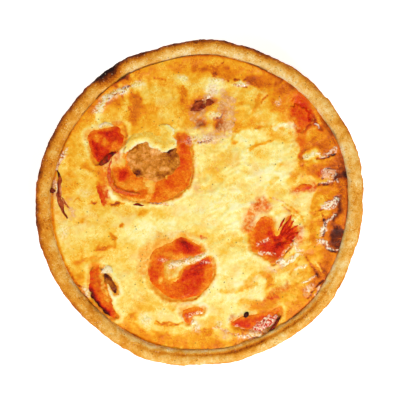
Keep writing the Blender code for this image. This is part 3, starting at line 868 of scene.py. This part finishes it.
def sunken(
    name, node, finish, slot, offset, half, turn, top, ring, dome, rough, tone, *dabs,
    columns=60, ragged=0.16, glare=(),
):
    """A flat piece pressed into the custard. Its middle is measured from the CAD piece it stands for,
    and the height of its top from the custard's level. Its flesh is raised by ring in a band near its
    edge or by dome in the middle, and its tone is built up by dabs, paler where the custard laps it."""
    made = piece(name, puck(columns), finish, slot, *stands_for(node))
    unit = places(made.data) * MM
    is_under = unit[:, 2] < -0.5
    share = np.hypot(unit[:, 0], unit[:, 1])
    angle = np.arctan2(unit[:, 1], unit[:, 0])
    centre = middle_of(node) + offset
    round_place = np.stack((np.cos(angle), np.sin(angle), centre[0] + share * 0), 1)
    edge_wave = 1 + ragged * (ripples(round_place, 0.7, 21) + 0.5 * ripples(round_place, 0.3, 26))
    cos, sin = math.cos(math.radians(turn)), math.sin(math.radians(turn))
    right, up = unit[:, 0] * half[0] * edge_wave, unit[:, 1] * half[1] * edge_wave
    flat = np.stack((right * cos - up * sin, right * sin + up * cos, np.zeros(len(share))), 1)
    flat[:, :2] += centre
    height = custard_level(flat) + top
    height += ring * np.exp(-(((share - 0.7) / 0.2) ** 2)) + dome * (1 - share**2)
    height -= 1.3 * smooth((share - 0.8) / 0.2)
    height += rough * (0.7 * ripples(flat, 4.5, 22) + 0.4 * ripples(flat, 1.8, 23))
    drift = np.stack((ripples(flat, 3.5, 24), ripples(flat, 3.5, 25), np.zeros(len(flat))), 1)
    value = dabbed(flat + drift * 1.2, tone, *dabs, origin=middle_of(node))
    if node in OPENINGS and finish is ROASTED_TOMATO:
        past_edge = outside(flat, rounded(np.array(OPENINGS[node]) + middle_of(node)))
        height -= 0.9 * smooth((past_edge + 0.2) / 1.5)
        lapped = smooth(1 + past_edge / 2.2)
        value = value * (1 - 0.65 * lapped) + 0.2 * 0.65 * lapped
    flat[:, 2] = np.where(is_under, custard_level(flat) - PIECE_DEPTH, height)
    flat[is_under, :2] = centre + (flat[is_under, :2] - centre) * 0.8
    move_to(made.data, flat)
    note(made.data, "ripeness", value)
    note(made.data, "glaze", dabbed(flat + drift * 0.8, 0, *glare, origin=middle_of(node)))
    return made


sunken(
    "large_slice", "tomato_slice_large", ROASTED_TOMATO, "tomato", (0, 0), (24.5, 22.0), -12,
    -0.3, 0.2, -1.1, 0.45, 0.38,
    (((14.5, 15), (15.5, 9), (15, 2)), 4, 0.5), (((18.5, 9), (18.6, 0)), 2.6, 0.38), (((13.6, 4), (14, -4)), 3, 0.46),
    (((16, -5), (14, -9)), 4, 0.4), (((12, -10), (6, -13.5)), 5, 0.34), ((9, -7.4), (3, 2, 0), 0.5),
    (((-15, -4), (-13, -8)), 5, 0.2), ((-7, -8.4), (7, 2.4, 0), 0.2), (((-18, -8), (-13, -11.4), (-4, -12)), 2.6, 0.46),
    (((-17, -13.5), (-10, -15.3), (-2, -15.5)), 3, 0.02), (((-2, -16), (0, -7)), 2.4, 0.1), (((1.4, -14), (2.4, -9)), 1.6, 0.5),
    ((-17.6, -3.2), (3, 3, 0), 0.34), ((-14.4, 3.8), (2, 3, 0), 0.2), (((-18.5, 8), (-17.6, 0)), 3, 0.46), ((-14.1, -2.7), (2.4, 2.4, 0), 0.78),
    # The dark stroke first on the next line is a painted shadow under the torn skin.
    (((4, 9.5), (8, 7.8), (11, 10.4), (12, 14)), 2.6, 1.02), ((17.5, -6), (1, 2, 0), 0.2),
    (((19.5, 10), (20, 3), (20, -3), (17, -9.5), (11.5, -13.8)), 1.6, 0.62),
    columns=100,
)
sunken(
    "middle_slice", "tomato_slice_middle", ROASTED_TOMATO, "tomato", (0, 0), (18.5, 17.0), 0,
    -0.4, 0.35, 0, 0.45, 0.44,
    ((-12.2, 2.6), (4, 7, 0), 0.52), ((-14.4, -3.4), (2.4, 4, 0), 0.56), ((-8.2, -9.4), (5, 4, 20), 0.42),
    ((0, -11.4), (4, 3, 0), 0.5), ((5.8, -10.4), (4, 3, 0), 0.6), ((8.6, -5.4), (4, 5, 0), 0.62),
    ((6, -1.4), (6, 3, 28), 0.76), ((12.8, 4), (3, 2, 0), 0.52), (((14.5, 1), (14.6, -5), (11, -10)), 4, 0.38),
    ((-3.2, 10.6), (4, 3, 0), 0.52), ((2.8, 11.1), (4.8, 3, -35), 0.84), ((-8, 8.6), (2, 2, 0), 0.46),
    ((-2.2, 6), (6, 1.4, -10), 0.26), ((-9.7, -5.4), (1.4, 1.3, 0), 0.06), ((-8.7, 9.1), (1.0, 1.0, 0), 0.3),
    ((-5.8, -2), (2.4, 3, 0), 0.34), (((8, 1.5), (13, 4.5)), 3, 0.78), ((-14, 5), (3, 4, 0), 0.3),
    (((-4, 12), (-9, 9.5)), 3, 0.4),
    columns=90, glare=((((-10, 4), (-3, 3.4), (6, 5), (12, 7)), 1.6, 0.4), (((10, 3), (15, 3.4)), 1.0, 0.4)),
)
sunken(
    "right_slice", "tomato_slice_right", ROASTED_TOMATO, "tomato", (0, 0), (17.0, 16.0), 50,
    -0.35, 0.25, 0, 0.5, 0.5,
    ((-6.6, 3.4), (3.5, 5, 0), 0.48), ((-9.6, -1.6), (2, 6, 0), 0.34), ((-4.6, -3.6), (3, 3, 0), 0.5),
    ((-1.6, -5.6), (4, 2.6, 0), 0.7), (((-0.6, 1.4), (2.4, -0.6)), 3, 0.7), (((5.2, 4.4), (3.9, -1.6), (2.4, -6.6)), 4.6, 0.88),
    ((3.4, -8.6), (2.4, 2.6, 0), 0.66), ((0.4, -12.6), (2, 2, 0), 0.46), ((8.4, -1.6), (3, 3, 0), 0.6),
    (((6, 3), (9, 8), (10.5, 12)), 2.6, 0.74), (((7, 1), (12, 4)), 2.6, 0.7), ((-7.6, -8.6), (2, 2, 0), 0.28),
    columns=90,
    glare=((((-7.2, -4), (-1.4, -1.6)), 1.2, 0.8), (((-6, -8.6), (1.2, -8.6)), 1.1, 0.9), (((5, -11), (8, -7)), 2.4, 0.6)),
)


# Browned core. The fleshy middle of the large slice, which has shrunk, browned and broken up into
# soft lumps.
BROWNED_TONES = (
    (0.0, (248, 190, 112)),
    (0.2, (236, 158, 76)),
    (0.4, (214, 132, 34)),
    (0.6, (180, 98, 10)),
    (0.8, (140, 58, 8)),
    (1.0, (86, 28, 14)),
    (1.2, (40, 12, 10)),
)


def browned_finish():
    browned = Finish("browned_flesh")
    fine = browned.grain(0.7, 3)
    coarse = browned.grain(2.0, 3)
    return browned.done(
        Base_Color=browned.tones(browned.noted("ripeness") + fine * 0.6 + coarse * 0.9, BROWNED_TONES),
        Roughness=(0.45 + fine * 0.3).held(0.1, 1),
        Normal=browned.bumpy(fine * 0.2 + coarse * 0.3),
        Coat_Weight=0.05,
        Coat_Roughness=0.2,
        Specular_IOR_Level=0.1,
        Subsurface_Weight=0.08,
        Subsurface_Radius=(1.0, 0.4, 0.2),
        Subsurface_Scale=0.001,
    )


BROWNED_FLESH = browned_finish()
core = sunken(
    "core", "browned_core", BROWNED_FLESH, "browned", (-0.8, 1.0), (14.0, 10.8), 4,
    0.0, 0, 0.4, 0.4, 0.28,
    ((-8, 2), (3.0, 6, 0), 0.42), ((-11.5, 1), (2, 5, 0), 0.3), ((-4.6, 1), (2.4, 5, 0), 0.32),
    ((0.5, 4.6), (3, 2.6, 0), 0.1), ((1, -2), (4, 3, 0), 0.38), ((5, -4.6), (2.4, 1.6, 0), 0.16),
    ((7, 0), (3, 3, 0), 0.46), ((8, 4), (4, 3, 0), 0.66),
    (((2, -7), (7, -7), (11, -3.5)), 2.6, 0.6), ((-2, -6), (3, 2, 0), 0.26), ((-9, -6.2), (2.2, 1.8, 0), 0.96),
    # Painted shadows: the first stroke on the next line lies under the torn skin, and the stroke on the line after it
    # along its torn edge.
    (((3, 6.6), (7, 5), (10.5, 7.6)), 2.4, 0.95), ((11, -1), (1.6, 3, 0), 0.44),
    (((-12, 7), (-8, 10), (-3, 10.6), (0.5, 8.4)), 1.6, 0.8),
    columns=80,
)
at = places(core.data)
nearby = [noise.voronoi(place)[0] for place in (at * (1, 1, 0) / 3.4).tolist()]
groove = smooth(1 - (np.array([near[1] - near[0] for near in nearby]) / 0.5))
at[:, 2] -= np.where(at[:, 2] > custard_level(at) - 2.5, 0.5 * groove, 0)
move_to(core.data, at)
# Painted shade: the grooves between the lumps are darkened, and the rest is lightened a little.
tone = core.data.attributes["ripeness"].data
for dot, dark in zip(tone, groove):
    dot.value += 0.16 * dark - 0.05


# Torn skin. The custard's skin has lifted over the top of the large slice and torn along a jagged
# line, which stands a little proud of the flesh below it and casts a shadow. That shadow is also
# painted dark onto the slice and the core.
TORN_SKIN = (
    (-12.6, 7.6), (-10.6, 9.3), (-8.6, 10.8), (-6.1, 12.6), (-2.6, 13.2), (-1.1, 11.3), (1.4, 10.1),
    (2.9, 10.1), (4.4, 8.3), (7.4, 8.6), (10.4, 10.4), (12.1, 11.3), (12.4, 13.8), (10.6, 16.0),
    (11.4, 17.8), (10.4, 20), (8, 22), (3, 22), (-4, 20), (-9, 17), (-12, 13), (-13.6, 9),
)
LARGE = middle_of("tomato_slice_large")
outline = rounded(np.array(TORN_SKIN) + LARGE, 5)
torn_line = outline[: 5 * 16]
skin = bmesh.new()
bmesh.ops.create_grid(skin, x_segments=120, y_segments=90, size=1)
for vertex in skin.verts:
    vertex.co.x = (LARGE[0] - 1.5 + vertex.co.x * 16.5) * MM
    vertex.co.y = (LARGE[1] + 14.5 + vertex.co.y * 10.5) * MM
flat = np.array([vertex.co for vertex in skin.verts]) / MM
gap = outside(flat, outline) + 0.5 * ripples(flat, 1.7, 31) + 0.3 * ripples(flat, 0.9, 32)
bmesh.ops.delete(skin, geom=[v for v, far in zip(skin.verts[:], gap) if far > 0], context="VERTS")
flat = np.array([vertex.co for vertex in skin.verts]) / MM
torn = away_from(flat, torn_line)
rise = custard_level(flat) + 0.9 - 0.5 * np.exp(-((torn / 1.6) ** 2)) - 1.7 * smooth((torn - 2) / 6)
rise += 0.3 * ripples(flat, 3, 33) + 0.15 * ripples(flat, 1.2, 34)
for vertex, height in zip(skin.verts, rise):
    vertex.co.z = height * MM
bmesh.ops.solidify(skin, geom=skin.faces[:], thickness=0.5 * MM)
bmesh.ops.recalc_face_normals(skin, faces=skin.faces)
torn_skin = piece("torn_skin", skin, BAKED_CUSTARD, "custard")
flat = places(torn_skin.data)
torn = away_from(flat, torn_line)
# Along the torn line the skin is painted paler and whiter, as a painted highlight on its lip, and is glossier there.
note(torn_skin.data, "browning", 0.4 - 0.3 * np.exp(-((torn / 1.8) ** 2)) + 0.1 * ripples(flat, 3, 35))
note(torn_skin.data, "stain", np.zeros(len(flat)))
note(torn_skin.data, "ripeness", np.zeros(len(flat)))
note(torn_skin.data, "pink", 0.3 * np.exp(-((torn / 0.8) ** 2)))
note(torn_skin.data, "glaze", 0.35 * np.exp(-((torn / 0.8) ** 2)))


# Tomato pieces. Smaller bits of tomato, scattered between the slices: a bright chunk beside the
# large slice, one under a thin film of custard at the upper right, a long wedge at the lower right
# with a burnt speck on it, and two small ones.
sunken(
    "left_chunk", "tomato_chunk_left", ROASTED_TOMATO, "tomato", (2, -1), (11.5, 10.0), 56,
    -0.3, 0, 0.4, 0.7, 0.66,
    (((-3, 3), (3.8, 4.2), (10.8, 5.4)), 2.6, 0.76), ((6.8, 0.6), (3, 3, 0), 0.74), ((-3.2, -3.4), (2.6, 5, 10), 0.74),
    ((-1.2, -9.0), (4, 3, 0), 0.76), ((2.8, -5.4), (3, 2.4, 40), 0.72), ((-1.4, 0.4), (2.2, 1.8, 0), 0.3),
    ((2.9, -2.0), (1.5, 2.4, 0), 0.32), ((7.8, -3.6), (2.6, 2.6, 0), 0.34), ((10.8, 2.6), (1.6, 3, 0), 0.5),
    columns=70,
)
sunken(
    "upper_right_chunk", "tomato_chunk_upper_right", ROASTED_TOMATO, "tomato", (0.5, 0.5), (8.6, 4.6), -47,
    -0.3, 0, 0.55, 0.6, 0.54,
    ((-1.8, 8.2), (2, 2, 0), 0.44), (((3.2, 6.2), (6.2, -0.8)), 2, 0.72), ((0.2, -3.8), (2, 2, 0), 0.42),
    ((8.2, -4.8), (3, 1.6, -35), 0.92), ragged=0.4,
)
sunken(
    "lower_right_wedge", "tomato_wedge_lower_right", ROASTED_TOMATO, "tomato", (0, 0), (14.0, 6.0), 20,
    -0.3, 0, 0.35, 0.6, 0.5,
    ((-6, -3.4), (5, 2.4, 10), 0.7), (((-3.4, -1.4), (5.6, 2.0)), 4, 0.56), ((10.6, 3.6), (2, 1.6, 0), 0.44),
    (((0, -4.5), (7, -2)), 3, 0.4), ((-2, 0.6), (2, 1.4, 0), 0.66),
    ragged=0.3, glare=((((-11, -5), (-6, -6.4)), 1.4, 0.5),),
)
sunken(
    "burnt_speck", "tomato_wedge_lower_right", BROWNED_FLESH, "browned", (-4.8, 0.6), (1.8, 1.3), 50,
    0.2, 0, 0.5, 0.3, 1.15, columns=16,
)
sunken(
    "bottom_bit", "tomato_bit_bottom", ROASTED_TOMATO, "tomato", (0, 0.5), (7.0, 5.0), 12,
    -0.3, 0, 0.4, 0.5, 0.46,
    ((-3.6, -0.6), (2.4, 4, 0), 0.6), (((-5, 2.8), (0, 3.6), (4.5, 3.4)), 2.4, 0.34), columns=40,
    glare=((((-2, 0), (4, 1.4)), 2.2, 0.9),),
)
sunken(
    "right_bit", "tomato_bit_right", ROASTED_TOMATO, "tomato", (0, -0.6), (4.6, 2.0), 14,
    -0.15, 0, 0.45, 0.5, 0.46, ((2.2, -1.2), (2, 1, 10), 0.64), columns=40,
)


# Curled strips. Bits of tomato skin that have dried and curled up in the oven: thin strips that arch
# across their width and follow an uneven line. One is the skin of the slice at the lower left, seen
# from its side.
def ribbon(name, node, finish, slot, path, width, arch, lift, tone, *dabs, columns=(60, 10), shine=0.0):
    """A curled strip along a line measured from a CAD piece's middle, with its edges lift above the
    custard's level and its back arched."""
    strip = bmesh.new()
    bmesh.ops.create_grid(strip, x_segments=columns[0], y_segments=columns[1], size=1)
    line = np.asarray(path, float) + middle_of(node)
    spacing = np.concatenate(((0,), np.cumsum(np.hypot(*np.diff(line, axis=0).T))))
    grid = np.array([vertex.co for vertex in strip.verts])
    share = (grid[:, 0] + 1) / 2
    along = share * spacing[-1]
    curve = np.stack([np.interp(along, spacing, line[:, side]) for side in (0, 1)], 1)
    ahead = np.stack([np.interp(along + 1.2, spacing, line[:, side]) for side in (0, 1)], 1)
    behind = np.stack([np.interp(along - 1.2, spacing, line[:, side]) for side in (0, 1)], 1)
    heading = (ahead - behind) / np.hypot(*(ahead - behind).T)[:, None]
    flat = np.stack((curve[:, 0], curve[:, 1], np.zeros(len(share))), 1)
    swell = np.sin(np.pi * np.clip(share, 0.03, 0.97)) ** 0.6 * (1 + 0.4 * ripples(flat, 2.2, 41))
    reach = grid[:, 1] * width / 2 * swell + 0.5 * ripples(flat, 3, 42)
    flat[:, 0] -= heading[:, 1] * reach
    flat[:, 1] += heading[:, 0] * reach
    height = custard_level(flat) + lift + arch * (1 - grid[:, 1] ** 2) * swell + 0.25 * ripples(flat, 1.5, 43)
    for vertex, spot, rise in zip(strip.verts, flat, height):
        vertex.co = (spot[0] * MM, spot[1] * MM, rise * MM)
    bmesh.ops.solidify(strip, geom=strip.faces[:], thickness=0.4 * MM)
    bmesh.ops.recalc_face_normals(strip, faces=strip.faces)
    made = piece(name, strip, finish, slot, *stands_for(node))
    at = places(made.data)
    value = dabbed(at, tone, *dabs, origin=middle_of(node)) + 0.14 * ripples(at, 2.0, 44)
    if finish is BAKED_CUSTARD:
        note(made.data, "browning", value)
        # Custard strips are glossy, with whitened crackle as a painted highlight, and a little pink.
        for other, amount in (("stain", 0), ("ripeness", 0), ("pink", 0.45), ("glaze", 0.5)):
            note(made.data, other, np.full(len(at), amount))
    else:
        note(made.data, "ripeness", value)
        note(made.data, "glaze", np.full(len(at), shine))
    return made


ribbon(
    "curled_skin", "tomato_slice_large", ROASTED_TOMATO, "tomato",
    ((-19.1, 6.3), (-20.4, 2.8), (-20.6, -3.2), (-19.8, -7.6), (-17.2, -9.8), (-11.6, -11.6), (-5.6, -12)),
    2.2, 0.55, 0.0, 0.46, ((-20.5, 0), (2, 5, 0), 0.56), columns=(90, 10), shine=0.06,
)
ribbon(
    "skin_tail", "tomato_slice_large", ROASTED_TOMATO, "tomato",
    ((-27, -8.2), (-24.8, -11.5), (-24, -14), (-23.6, -17.6)), 3.0, 0.6, -0.1, 0.54,
)
ribbon(
    "dark_fold", "tomato_chunk_left", ROASTED_TOMATO, "tomato",
    ((-1.2, -13.4), (2.8, -10.9), (4.8, -8.2), (8.3, -6.4)), 3.0, 0.9, 0.1, 0.96,
)
ribbon(
    "pale_fold", "tomato_chunk_left", BAKED_CUSTARD, "custard",
    ((-1.5, 5.6), (2.8, 7.4), (6.8, 6.6)), 2.2, 0.6, 0.1, 0.3, columns=(30, 8),
)
ribbon(
    "crescent", "tomato_crescent", ROASTED_TOMATO, "tomato",
    ((-3.4, 12.8), (-3.6, 7), (-3.0, 1), (-0.8, -4.5), (2.2, -9), (6.2, -13.8)), 9.0, 0.8, -0.3, 0.5,
    (((-0.6, 9), (-0.2, 1), (2.4, -5.4)), 2.8, 0.17), (((-6, 8), (-6.4, 0), (-3.4, -6)), 3, 0.58), ((-3, 12), (4, 2, 0), 0.28),
    # The last dab on the next line is a painted shadow, dark in the gap between the crescent and the rim.
    (((-3, 5), (-2, -3), (2, -9)), 2, 0.42), (((-6.4, -1.3), (-5, -5.4), (-2.2, -9.2), (1.6, -12)), 3.2, 1.08),
    columns=(80, 22),
)
FIBRES = {
    "a": (((4.4, 1), (6.8, 5.4), (9, 9), (10.2, 12)), 1.5),
    "b": (((5.4, 0.6), (8.4, 4.4), (12, 8.8)), 1.2),
    "c": (((6, 0), (10, 3.4), (14, 6.2)), 1.3),
    "d": (((6.6, -1), (11.4, 1), (15.8, 3)), 1.6),
    "e": (((6.4, -2.2), (10, -1), (13.6, 0.6)), 1.2),
    "f": (((5, -3.4), (8.4, -3), (11.6, -1.6)), 1.4),
    "g": (((2.8, 1.8), (4.6, 5.6), (6.2, 9)), 1.1),
}
for letter, (line, width) in FIBRES.items():
    ribbon(
        "fibre_" + letter, "tomato_slice_right", ROASTED_TOMATO, "tomato", line, width, 0.45, -0.1, 0.72,
        (line[-1], (1.4, 1.4, 0), 1.0), columns=(30, 6),
    )
ribbon(
    "right_slice_lip", "tomato_slice_right", BAKED_CUSTARD, "custard",
    ((1.6, -14.6), (6, -14.2), (10.6, -11.6), (13, -8), (13.4, -4)), 2.6, 0.5, -0.3, 0.14, columns=(60, 8),
)
# Its pale crackle is a painted highlight on a glossy strip.
ribbon(
    "wedge_skin", "tomato_wedge_lower_right", ROASTED_TOMATO, "tomato",
    ((-1.5, -6.4), (3.5, -4), (10.5, 0.2)), 6.0, 0.5, -0.2, 0.7, columns=(50, 16), shine=0.6,
)
# A dark strip along the wedge's far end, laid there as a painted shadow in the gap beside it.
ribbon(
    "wedge_shadow_strip", "tomato_wedge_lower_right", ROASTED_TOMATO, "tomato",
    ((12, 0.2), (10.2, -3.2), (6.2, -7.6)), 1.4, 0.3, 0.2, 1.06, columns=(36, 6),
)
ribbon(
    "slice_scorch", "tomato_slice_large", ROASTED_TOMATO, "tomato",
    ((-9, -17.4), (-6.4, -17.2), (-3.6, -17.5)), 1.1, 0.2, 0.1, 0.96, columns=(24, 6),
)
ribbon(
    "left_browned_bit", "browned_bit_left", BROWNED_FLESH, "browned",
    ((-4.6, 3.6), (-2.4, 0.4), (-0.2, -2.8), (1.8, -6.2)), 3.6, 0.5, -0.3, 0.7,
    ((-4, 2.6), (1.6, 1.2, 0), 0.98), ((1.2, -5), (1.4, 1.6, 0), 0.95), columns=(40, 10),
)
ribbon(
    "flap_above_bit", "browned_bit_left", BAKED_CUSTARD, "custard",
    ((-6, 4.2), (-3, 6.2), (-0.6, 4.4)), 3.2, 0.6, 0.1, 0.12, columns=(30, 8),
)


# Ham. Small pinkish pieces, the ones at the left edge and at the top darkened by the oven.
HAM_TONES = (
    (0.0, (252, 230, 204)),
    (0.3, (228, 152, 96)),
    (0.6, (186, 84, 32)),
    (0.8, (144, 46, 10)),
    (1.0, (88, 20, 4)),
    (1.2, (44, 12, 8)),
)


def ham_finish():
    ham = Finish("roasted_ham")
    fine = ham.grain(0.7, 3)
    coarse = ham.grain(1.8, 3)
    return ham.done(
        Base_Color=ham.tones(ham.noted("ripeness") + fine * 0.5 + coarse * 0.5, HAM_TONES),
        Roughness=(0.4 + fine * 0.3).held(0.1, 1),
        Normal=ham.bumpy(fine * 0.2 + coarse * 0.25),
        Coat_Weight=0.06,
        Coat_Roughness=0.2,
        Specular_IOR_Level=0.1,
        Subsurface_Weight=0.08,
        Subsurface_Radius=(1.0, 0.4, 0.2),
        Subsurface_Scale=0.001,
    )


ROASTED_HAM = ham_finish()
ribbon(
    "left_strip", "ham_strip_left", ROASTED_HAM, "ham",
    ((-2.0, 10.6), (-0.7, 6.8), (-1.0, 0.6), (-0.7, -4.2), (0.8, -9), (3.0, -13)), 2.6, 0.7, -0.2, 0.7,
    ((-1.6, 9), (1.4, 1.6, 0), 1.05), (((-1.4, 4), (-1.2, -2)), 0.9, 0.9), (((0.4, -8), (3, -12.6)), 1.6, 0.86),
    ((0.4, 1), (1, 2.4, 0), 0.3),
)
ribbon(
    "strip_branch", "ham_strip_left", ROASTED_HAM, "ham",
    ((0, -2), (1.6, -5.4), (4.2, -8)), 1.4, 0.4, -0.1, 0.56, columns=(24, 6),
)
sunken(
    "strip_lump", "ham_strip_left", ROASTED_HAM, "ham", (-4.2, 0.6), (1.8, 1.3), 0,
    0.1, 0, 0.5, 0.4, 0.95, columns=20,
)
sunken(
    "top_bit", "ham_bit_top", ROASTED_HAM, "ham", (-1.5, -1.7), (4.2, 2.5), 12,
    -0.2, 0, 0.5, 0.6, 0.8, ((0, -1.5), (1.6, 1, 20), 0.9), ((-3, 0), (1.6, 1.6, 0), 0.6), columns=40, ragged=0.6,
)
sunken(
    "top_bit_end", "ham_bit_top", ROASTED_HAM, "ham", (3.4, -0.2), (2.2, 2.1), 0,
    -0.2, 0, 0.5, 0.5, 0.78, columns=30, ragged=0.5,
)
sunken(
    "right_ham", "ham_bit_right", ROASTED_HAM, "ham", (1.9, 0.3), (4.2, 2.4), 15,
    -0.1, 0, 0.6, 0.7, 0.26, ((-2, 0.2), (1.4, 1.4, 20), 0.6), columns=40,
)


# Floor and light. A pale board that glows a little, so that shadows on it stay faint, a main light
# from below the quiche's front edge, three weaker ones from the other sides and a dim one all round.
floor_shape = bmesh.new()
bmesh.ops.create_grid(floor_shape, x_segments=1, y_segments=1, size=6)
floor_mesh = bpy.data.meshes.new("pale_board")
floor_shape.to_mesh(floor_mesh)
floor_shape.free()
board_finish = Finish("pale_board").done(
    Base_Color=linear((250, 250, 250)),
    Roughness=0.9,
    Specular_IOR_Level=0,
    Emission_Color=(1, 1, 1, 1),
    Emission_Strength=0.6,
)
floor_mesh.materials.append(board_finish)
floor = bpy.data.objects.new("pale_board", floor_mesh)
bpy.context.scene.collection.objects.link(floor)


def area_light(name, direction, distance, size, power):
    """A square light that shines at the quiche from a direction."""
    lamp = bpy.data.lights.new(name, "AREA")
    lamp.size = size
    lamp.energy = power
    made = bpy.data.objects.new(name, lamp)
    turn, rise = math.radians(direction[0]), math.radians(direction[1])
    made.location = (
        distance * math.cos(rise) * math.cos(turn),
        distance * math.cos(rise) * math.sin(turn),
        distance * math.sin(rise),
    )
    made.rotation_euler = (math.pi / 2 - rise, 0, turn + math.pi / 2)
    bpy.context.scene.collection.objects.link(made)
    return made


area_light("main_light", (-62, 50), 1.1, 0.3, 8.0)
area_light("right_light", (28, 42), 1.2, 0.8, 2.6)
area_light("back_light", (118, 42), 1.2, 0.8, 2.6)
area_light("left_light", (195, 38), 1.2, 0.8, 4.2)
world = bpy.data.worlds.new("studio")
world.use_nodes = True
world.node_tree.nodes["Background"].inputs["Color"].default_value = (1, 1, 1, 1)
world.node_tree.nodes["Background"].inputs["Strength"].default_value = 0.15
bpy.context.scene.world = world

CAMERA_HEIGHT = 0.62
VIEW_WIDTH = 0.195
camera_data = bpy.data.cameras.new("camera")
camera_data.sensor_width = 36
camera_data.lens = 36 * (CAMERA_HEIGHT - CASE_HEIGHT * MM) / VIEW_WIDTH
camera = bpy.data.objects.new("camera", camera_data)
camera.location = (0, 1.5 * MM, CAMERA_HEIGHT)
bpy.context.scene.collection.objects.link(camera)
bpy.context.scene.camera = camera
bpy.context.scene.view_settings.view_transform = "Standard"
